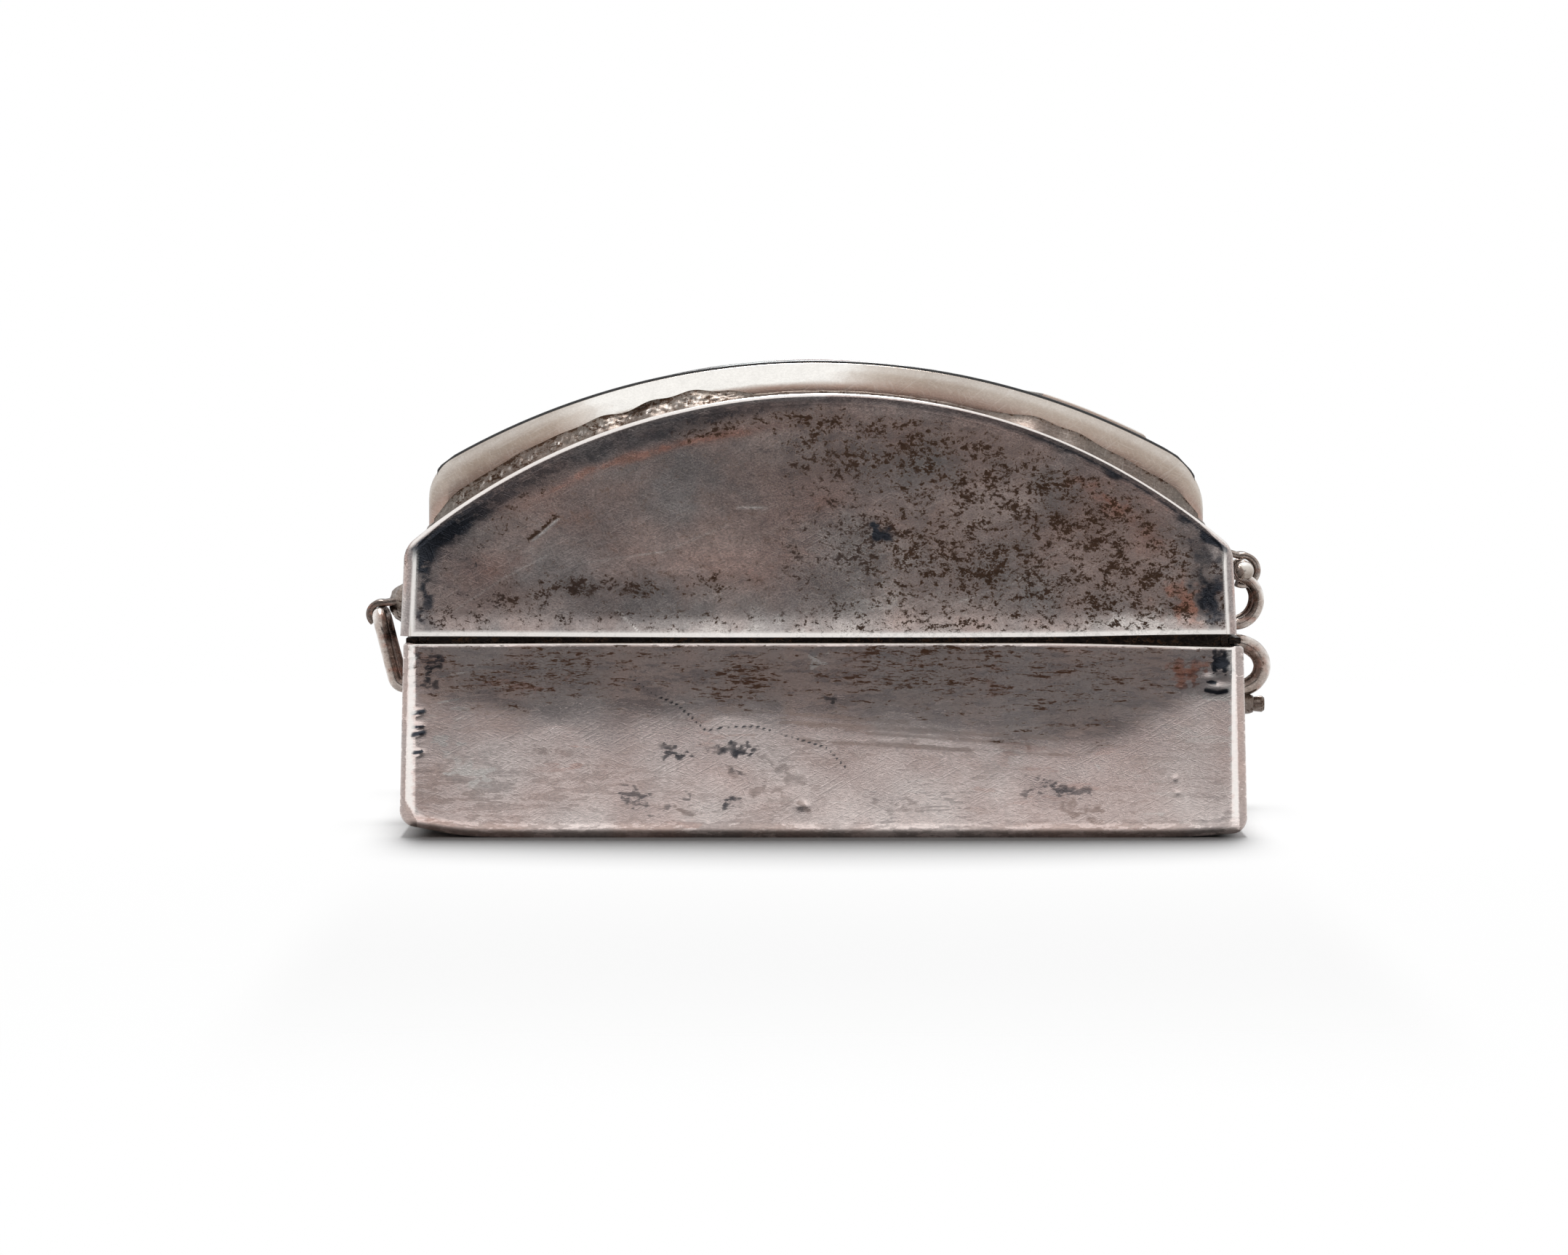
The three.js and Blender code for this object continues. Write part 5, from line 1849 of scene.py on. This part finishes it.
    def build_bed(self) -> None:
        """Makes the bed under the stones: a plate from the roof up to the stones' undersides."""
        low, high = box_mm("inlay_bed")
        x = np.linspace(low[0], high[0], 50)[:, None]
        y = np.linspace(low[1], high[1], 30)
        top = xyz(x, y, self.bezel.crown(x, -self.thickness - self.gap))
        skin = Skin().slab(top, xyz(x, y, self.bezel.lid.roof_height(x, 0.05)), {DARK: 1.0})
        skin.piece("inlay_bed_plate", "lid", "dark_silver", WIRE, "inlay_bed")

    def build_band(self) -> None:
        """Makes the shell band of the lozenge: a flat ring with eased edges."""
        across = eased(8, 0.5, self.band)
        over = self.raised - fall(np.minimum(across, 1 - across) * self.band, self.stone_round)
        across = np.concatenate([[0], across, [1]])
        over = np.pad(over, 1, constant_values=-self.thickness)
        outer, inner = self.lozenge("lozenge_band"), self.lozenge("inner_channel", -self.gap)
        points = self.between(outer, inner, across, over)
        skin = Skin().grid(points, None, round_rows=True, round_columns=True)
        skin.piece("lozenge_band_stone", "lid", "shell", SHELL, "lozenge_band")

    def build_corners(self) -> None:
        """Makes the four coral corner stones, each a triangle drawn as a kite with one straight angle."""
        for front, side_y in (("front", -1), ("back", 1)):
            for left, side_x in (("left", -1), ("right", 1)):
                node = f"corner_{front}_{left}"
                low, high = box_mm(node)
                far_side = np.array([side_x, side_y, 1]) > 0
                outer, inner = np.where(far_side, high, low)[:2], np.where(far_side, low, high)[:2]
                along = np.array([inner[0], outer[1]])
                across = np.array([outer[0], inner[1]])
                corners = np.array([outer, along, (along + across) / 2, across])
                self.stone(node, corners, self.raised, "coral", CORAL)


@dataclass
class Fittings:
    """The wire and strap fittings: two hinges, the pull with its bail, the keeper loop and its stud."""

    lid: Lid
    hinge_wire: float = 1.35
    hinge_play: float = 0.05
    strap: float = 0.66
    bail_wire: float = 1.15
    bail_eye: float = 2.0
    bail_hang: float = 0.5
    bail_slim: float = 0.6
    keeper_wire: float = 1.75
    keeper_deep: float = 2.85
    pin: float = 1.0
    pull_play: float = 0.65
    hinge_foot: float = 22.6
    hinge_last: float = -50.0
    pull_foot: float = 27.2
    pull_last: float = -110.0
    solder_x: float = -40.6
    solder_z: float = 21.2
    solder_half: Point = (1.8, 2.4, 1.9)
    steady: Point = (0.64, 0.6, 0.48)

    def worn(self, points: Array, seed: float, out_x: float, dull: float = 0.0) -> Stains:
        """What a wire carries: painted shade towards the wall, painted highlights on the side that faces
        away from it and up, and patches of tarnish.

        Args:
            points: the wire's grid.
            seed: sets this wire apart from others.
            out_x: sign of X away from the wall.
            dull: how much painted highlight is taken away and painted shade added, from 0 to 1.

        Returns:
            What each point carries.
        """
        middle = points.mean(axis=1, keepdims=True)
        away = points - middle
        size = np.linalg.norm(away, axis=-1) + 1e-6
        # How far a point faces away from the wall and up: painted highlight there, painted shade on the
        # other side
        crest = (out_x * away[..., 0] + 0.5 * away[..., 2]) / size
        patch = ripple(points[..., 2] * 2 + points[..., 1], points[..., 0], 5, seed)
        return {
            DARK: 0.55 - 0.45 * crest * (1 - dull) + 0.2 * (patch - 0.5) + 0.4 * dull,
            BROWN: 0.12 * patch,
            ROSE: 0.35 * smooth(patch, 0.55, 0.8),
            LIGHT: 0.5 * smooth(crest, 0.3, 1.0) * patch * (1 - dull),
            EDGE: 0.75 * smooth(crest, 0.5, 0.95) * smooth(patch, 0.1, 0.6) * (1 - dull),
        }

    def wire(self, path: Array, diameter: float, seed: float, out_x: float) -> Skin:
        """Makes a hand-drawn wire: a circle of slightly uneven size carried along a path.

        Args:
            path: the wire's middle line.
            diameter: its diameter.
            seed: sets this wire apart from others.
            out_x: sign of X away from the wall.

        Returns:
            Its skin.
        """
        along = np.linspace(0, 1, len(path))
        swell = 1 + 0.05 * (ripple(along * 30, along, 9, seed) - 0.5)
        points = carry(round_section(diameter), path, self.steady, swell)
        return Skin().tube(points, self.worn(points, seed, out_x))

    def eye(
        self, node: str, axis: Array, radius: float, seed: float, side: int, foot: float, last: float
    ) -> None:
        """Makes a strap that hooks round a bar: a flat section carried down from its foot on the lid's
        wall, out to the bar and round it on a circle.

        Args:
            node: the CAD node that it replaces.
            axis: the bar's place.
            radius: radius of the strap's middle line round the bar.
            seed: sets this strap apart from others.
            side: sign of X away from the wall.
            foot: height of the foot's top.
            last: where the strap ends round the bar, in degrees.
        """
        low, high = box_mm(node)
        turn = np.radians(np.linspace(104, last, 44))
        arc_x = axis[0] + side * radius * np.cos(turn)
        arc_z = axis[2] + radius * np.sin(turn)
        wall = side * (self.lid.wall_x(foot) + self.strap / 2)
        wall -= self.lid.drift(wall)
        middle = (low[1] + high[1]) / 2
        knots = [(wall, middle, foot), (wall - side * 0.1, middle, max(arc_z[0], foot - 0.9))]
        path = bent(knots + [(x, middle, z) for x, z in zip(arc_x, arc_z)], 0.7, 100)
        ahead = unit(np.gradient(path, axis=0))
        over = np.column_stack([-ahead[:, 2], np.zeros(len(path)), ahead[:, 0]])
        points = self.flat(bar_section(high[1] - low[1], self.strap, self.strap * 0.3), path, over)
        # The hinge straps are darker, with less painted highlight
        skin = Skin().tube(points, self.worn(points, seed, side, 0.8 if side < 0 else 0.0))
        skin.piece(node + "_strip", "lid", "dark_silver", WIRE, node)

    def lump(self, node: str, y: float) -> None:
        """Makes the lump of solder at a hinge strap's foot: an ellipsoid with an uneven skin.

        Args:
            node: the strap's CAD node.
            y: the lump's place along the box.
        """
        rise = np.linspace(0, np.pi, 24)[:, None]
        around = np.linspace(0, 2 * np.pi, 36, endpoint=False)
        uneven = 1 + 0.16 * (ripple(around * 6 + 0 * rise, rise * 6, 5, y) - 0.5) * np.sin(rise)
        way = xyz(np.sin(rise) * np.cos(around), np.sin(rise) * np.sin(around), np.cos(rise))
        points = (self.solder_x, y, self.solder_z) + way * self.solder_half * uneven[..., None]
        stains = {DARK: 0.5, BROWN: 0.3 * uneven, LIGHT: 0.4 * smooth(uneven, 1.03, 1.08)}
        skin = Skin().grid(points, stains, round_columns=True)
        skin.piece(node + "_solder", "lid", "dark_silver", SOLDER)

    def flat(self, section: Array, path: Array, over: Array) -> Array:
        """Carries a section along a path, its first coordinate along Y and its second along over."""
        width = np.array([0.0, 1.0, 0.0])
        return path[:, None] + section[None, :, 0, None] * width + section[None, :, 1, None] * over[:, None]

    def build(self) -> None:
        """Makes all the fittings."""
        self.build_hinges()
        self.build_pull()
        self.build_keeper()

    def build_hinges(self) -> None:
        """Makes the two wire loops on the tray and the two straps of the lid that turn on them."""
        axis = joint_mm("lid_hinge")
        for end in ("front", "back"):
            low, high = box_mm(f"hinge_loop_{end}")
            half = self.hinge_wire / 2
            near, far = low[1] + half, high[1] - half
            foot = (high[0] + 0.4, low[2] + half + 1.1)
            knee = (high[0] - 1.5, low[2] + half + 1.1)
            top = (axis[0], axis[2])
            route = [(foot, near), (knee, near), (top, near), (top, far), (knee, far), (foot, far)]
            path = bent([(x, y, z) for (x, z), y in route], 1.6, 150)
            seed = 1.0 if end == "front" else 2.0
            skin = self.wire(path, self.hinge_wire, seed, -1)
            skin.piece(f"hinge_loop_{end}_wire", "tray", "dark_silver", WIRE, f"hinge_loop_{end}")
            radius = self.hinge_wire / 2 + self.hinge_play + self.strap / 2
            strap = f"hinge_strap_{end}"
            self.eye(strap, axis, radius, seed + 0.5, -1, self.hinge_foot, self.hinge_last)
            self.lump(strap, (near + far) / 2)

    def build_pull(self) -> None:
        """Makes the pull: the strap, the pin with a ball at each end, and the bail that hangs on it."""
        axis = joint_mm("bail_swing")
        radius = self.pin / 2 + self.pull_play + self.strap / 2
        self.eye("pull_strap", axis, radius, 3.0, 1, self.pull_foot, self.pull_last)
        self.build_pin(axis)
        low, high = box_mm("pull_bail")
        half = self.bail_wire / 2
        arm = high[1] - half
        out = high[0] - half - axis[0] - self.bail_slim
        drop = axis[2] - (low[2] + half)
        rest = low[0] + half
        radius = (drop - self.bail_hang) / 2
        turn = np.radians(np.linspace(78, -85, 30))
        x = axis[0] + out - radius + radius * np.cos(turn)
        z = axis[2] - drop + radius + radius * np.sin(turn)
        near = [(across, -arm, height) for across, height in zip(x, z)] + [(rest, -arm, z[-1])]
        path = bent(near + [(across, -y, height) for across, y, height in reversed(near)], 1.5, 240)
        skin = self.wire(path, self.bail_wire, 4.0, 1)
        around = np.linspace(0, 2 * np.pi, 36, endpoint=False)
        outward = np.column_stack([np.cos(around), 0 * around, np.sin(around)])
        section = bar_section(self.bail_wire, 0.42, 0.15)
        for y in (-arm, arm):
            ring = (axis[0], y, axis[2]) + (self.bail_eye / 2 - 0.18) * outward
            eye = self.flat(section, ring, outward)
            skin.grid(eye, self.worn(eye, 4.5, 1), round_rows=True, round_columns=True)
        skin.piece("pull_bail_wire", "bail", "dark_silver", WIRE, "pull_bail")

    def build_pin(self, axis: Array) -> None:
        """Makes the pin: a profile of shank and two balls, turned about the pin's axis.

        Args:
            axis: the pin's place.
        """
        low, high = box_mm("pull_pin")
        ball = (high[2] - low[2]) / 2
        start = np.arcsin(self.pin / 2 / ball)
        angle = np.linspace(0, np.pi - start, 20)
        y = high[1] - ball + ball * np.cos(angle)
        radius = ball * np.sin(angle)
        place = np.concatenate([y, -y[::-1]])[:, None]
        size = np.concatenate([radius, radius[::-1]])[:, None]
        around = np.linspace(0, 2 * np.pi, 32, endpoint=False)
        z = axis[2] + size * np.sin(around)
        points = xyz(axis[0] + size * np.cos(around), place, z)
        up = (z - axis[2]) / ball
        # Painted highlight on the top of the pin and its balls, painted shade underneath
        stains = {DARK: 0.6 - 0.4 * up, LIGHT: 0.2 + 0.5 * up, EDGE: smooth(up, 0.4, 0.9)}
        skin = Skin().grid(points, stains, round_columns=True)
        skin.piece("pull_pin_balls", "lid", "bright_silver", BURNISHED_HIGHLIT, "pull_pin")

    def build_keeper(self) -> None:
        """Makes the keeper: a heavy wire loop on the tray's wall, and the stud under it."""
        low, high = box_mm("keeper_loop")
        half = self.keeper_wire / 2
        reach = high[0] - half
        middle, tall = (high[2] + low[2]) / 2, (high[2] - low[2]) / 2 - half
        turn = np.radians(np.linspace(145, -145, 60))
        x = reach - self.keeper_deep + self.keeper_deep * np.cos(turn)
        path = np.column_stack([x, 0 * x, middle + 1.06 * tall * np.sin(turn)])
        skin = self.wire(path, self.keeper_wire, 5.0, 1)
        skin.piece("keeper_loop_wire", "tray", "dark_silver", WIRE, "keeper_loop")
        low, high = box_mm("keeper_stud")
        height = (low[2] + high[2]) / 2 + 0.4
        pad = (high[2] - low[2]) / 2
        length = high[0] - low[0] - 0.4
        along = np.array([0.0, 0.0, 0.25, 0.5, 0.7, 0.77, 0.79, 0.82, 0.95, 1.0, 1.0])
        size = pad * np.array([0.0, 1.15, 1.12, 1.05, 0.98, 0.85, 0.72, 0.74, 0.8, 0.62, 0.0])[:, None]
        around = np.linspace(0, 2 * np.pi, 28, endpoint=False)
        x = low[0] - 0.2 + (length + 0.2) * along[:, None]
        points = xyz(x, size * np.cos(around), height + size * np.sin(around) * 0.98)
        # Painted shade under the stud, lighter on top
        skin = Skin().grid(points, {DARK: 0.85 - 0.2 * np.sin(around), BROWN: 0.3}, round_columns=True)
        skin.piece("keeper_stud_pin", "tray", "dark_silver", WIRE, "keeper_stud")


@dataclass
class Studio:
    """A white floor, soft light, and a camera nearly level with the box, facing its end."""

    camera_x: float = -3.73
    camera_height: float = 46.0
    camera_distance: float = 680.0
    target_height: float = 19.85
    field_width: float = 147.8
    sensor: float = 36.0
    ambient: float = 0.12
    board: float = 0.3
    flag_distance: float = 0.62
    flag_half: float = 0.22
    flag_height: float = 0.15
    lamp_size: tuple[float, float] = (0.6, 2.0)
    lamp_place: Point = (0.0, 1.1, 2.0)
    lamp_power: float = 64.0

    def build(self) -> None:
        """Makes the camera, the world, the lamp, the floor and the cards."""
        self.build_camera()
        self.build_world()
        self.build_lamp()
        self.build_floor()
        self.build_flags()

    def build_camera(self) -> None:
        """Makes the camera: it looks along +Y and a little down, with a long lens."""
        front = box_mm("tray_front_end")[0][1]
        data = bpy.data.cameras.new("camera")
        data.sensor_width = self.sensor
        slope = np.arctan2(self.camera_height - self.target_height, self.camera_distance)
        reach = self.camera_distance / np.cos(slope)
        data.lens = self.sensor * reach / self.field_width
        data.clip_end = 20
        camera = bpy.data.objects.new("camera", data)
        place = np.array([self.camera_x, front - self.camera_distance, self.camera_height]) * MM
        camera.location = [float(value) for value in place]
        camera.rotation_euler = (float(np.pi / 2 - slope), 0, 0)
        bpy.context.scene.collection.objects.link(camera)
        bpy.context.scene.camera = camera

    def build_world(self) -> None:
        """Makes the world: white to the camera and to reflections, faint as light."""
        world = bpy.data.worlds.new("white_studio")
        bpy.context.scene.world = world
        world.use_nodes = True
        tree = world.node_tree
        tree.nodes.clear()
        seen = add(tree, "LightPath", out="Is Camera Ray")
        path = seen.node
        either = seen
        for kind in ("Is Glossy Ray", "Is Transmission Ray"):
            pair = {0: path.outputs[kind], 1: path.outputs["Diffuse Depth"]}
            first = add(tree, "Math", pair, operation="SUBTRACT")
            either = add(tree, "Math", {0: first, 1: either}, operation="MAXIMUM", use_clamp=True)
        strength = add(tree, "MapRange", {"Value": either, "To Min": self.ambient, "To Max": 1.0})
        light = add(tree, "Background", {"Color": (1, 1, 1, 1), "Strength": strength})
        add(tree, "OutputWorld", {"Surface": light})

    def build_lamp(self) -> None:
        """Makes one soft strip above and behind the box, facing down."""
        data = bpy.data.lights.new("lamp_above", "AREA")
        data.shape = "RECTANGLE"
        data.size, data.size_y = self.lamp_size
        data.energy = self.lamp_power
        lamp = bpy.data.objects.new("lamp_above", data)
        lamp.location = self.lamp_place
        bpy.context.scene.collection.objects.link(lamp)

    def build_floor(self) -> None:
        """Makes the floor, a matt white board whose rim fades out into the white behind it. It is white to
        mirrored rays outside the box's own shadow, and nearly white to the camera beside the box."""
        material, tree = new_material("matt_white_board")
        place = add(tree, "TexCoord", out="Object")
        far = add(tree, "VectorMath", {0: place}, out="Value", operation="LENGTH")
        levels = {"Value": far, "From Min": 0.14, "From Max": self.board}
        fade = add(tree, "MapRange", levels, interpolation_type="SMOOTHSTEP")
        paint_coat = add(tree, "BsdfDiffuse", {"Color": linear("#fbfbfb")})
        seen = add(tree, "LightPath", out="Is Camera Ray")
        apart = []
        for axis, half in enumerate(box_mm("tray_floor")[1][:2] * MM):
            reach = add(tree, "SeparateXYZ", {0: place}, out=axis)
            reach = add(tree, "Math", {0: reach}, operation="ABSOLUTE")
            apart.append(add(tree, "Math", {0: reach, 1: float(half)}, operation="SUBTRACT"))
        near = add(tree, "Math", {0: apart[0], 1: apart[1]}, operation="MAXIMUM")
        shares = []
        for distance, ray, low, high, most in (
            (apart[0], seen, -0.003, 0.005, 0.85),
            (near, seen.node.outputs["Is Glossy Ray"], 0.0, 0.003, 1.0),
        ):
            levels = {"Value": distance, "From Min": low, "From Max": high, "To Max": most}
            share = add(tree, "MapRange", levels, interpolation_type="SMOOTHSTEP")
            shares.append(add(tree, "Math", {0: share, 1: ray}, operation="MULTIPLY"))
        mirrored = add(tree, "Math", {0: shares[0], 1: shares[1]}, operation="MAXIMUM")
        white = add(tree, "Emission", {"Color": (1, 1, 1, 1), "Strength": 1.0})
        paint_coat = add(tree, "MixShader", {0: mirrored, 1: paint_coat, 2: white})
        look = {0: fade, 1: paint_coat, 2: add(tree, "BsdfTransparent")}
        add(tree, "OutputMaterial", {"Surface": add(tree, "MixShader", look)})
        half = self.board
        corners = np.array([(-half, -half, 0), (half, -half, 0), (half, half, 0), (-half, half, 0)])
        self.set_piece("floor", corners[None], material)

    def build_flags(self) -> None:
        """Makes two dark cards outside the picture, before and behind the board, for silver to mirror."""
        material, tree = new_material("black_card")
        card = add(tree, "BsdfDiffuse", {"Color": linear("#5c5c60")})
        add(tree, "OutputMaterial", {"Surface": card})
        cards = []
        side = np.array([self.flag_half, 0, 0])
        top = np.array([0, 0, self.flag_height])
        for sign in (-1, 1):
            ahead = np.array([0, sign * self.flag_distance, 0])
            cards.append([ahead - side, ahead + side, ahead + side + top, ahead - side + top])
        flags = self.set_piece("dark_cards", np.array(cards), material)
        flags.visible_camera = False
        flags.visible_diffuse = False
        flags.visible_shadow = False

    def set_piece(self, name: str, corners: Array, material: Material) -> bpy.types.Object:
        """Makes a staged piece of four-cornered faces.

        Args:
            name: its name.
            corners: faces by corners by 3, in metres.
            material: its finish.

        Returns:
            The object.
        """
        mesh = bpy.data.meshes.new(name)
        faces = np.arange(len(corners) * 4).reshape(-1, 4)
        mesh.from_pydata(corners.reshape(-1, 3).tolist(), [], faces.tolist())
        mesh.materials.append(material)
        made = bpy.data.objects.new(name, mesh)
        bpy.context.scene.collection.objects.link(made)
        return made


def main() -> None:
    """Builds the box, sub-assembly by sub-assembly, in its studio."""
    logging.basicConfig(level=logging.INFO, format="%(name)s %(message)s")
    bpy.context.scene.view_settings.view_transform = "Standard"
    Studio().build()
    tray = Tray()
    tray.build()
    Collar(tray).build()
    lid = Lid()
    lid.build()
    bezel = Bezel(lid)
    bezel.build()
    Inlay(bezel).build()
    Fittings(lid).build()


if __name__ == "__main__":
    main()
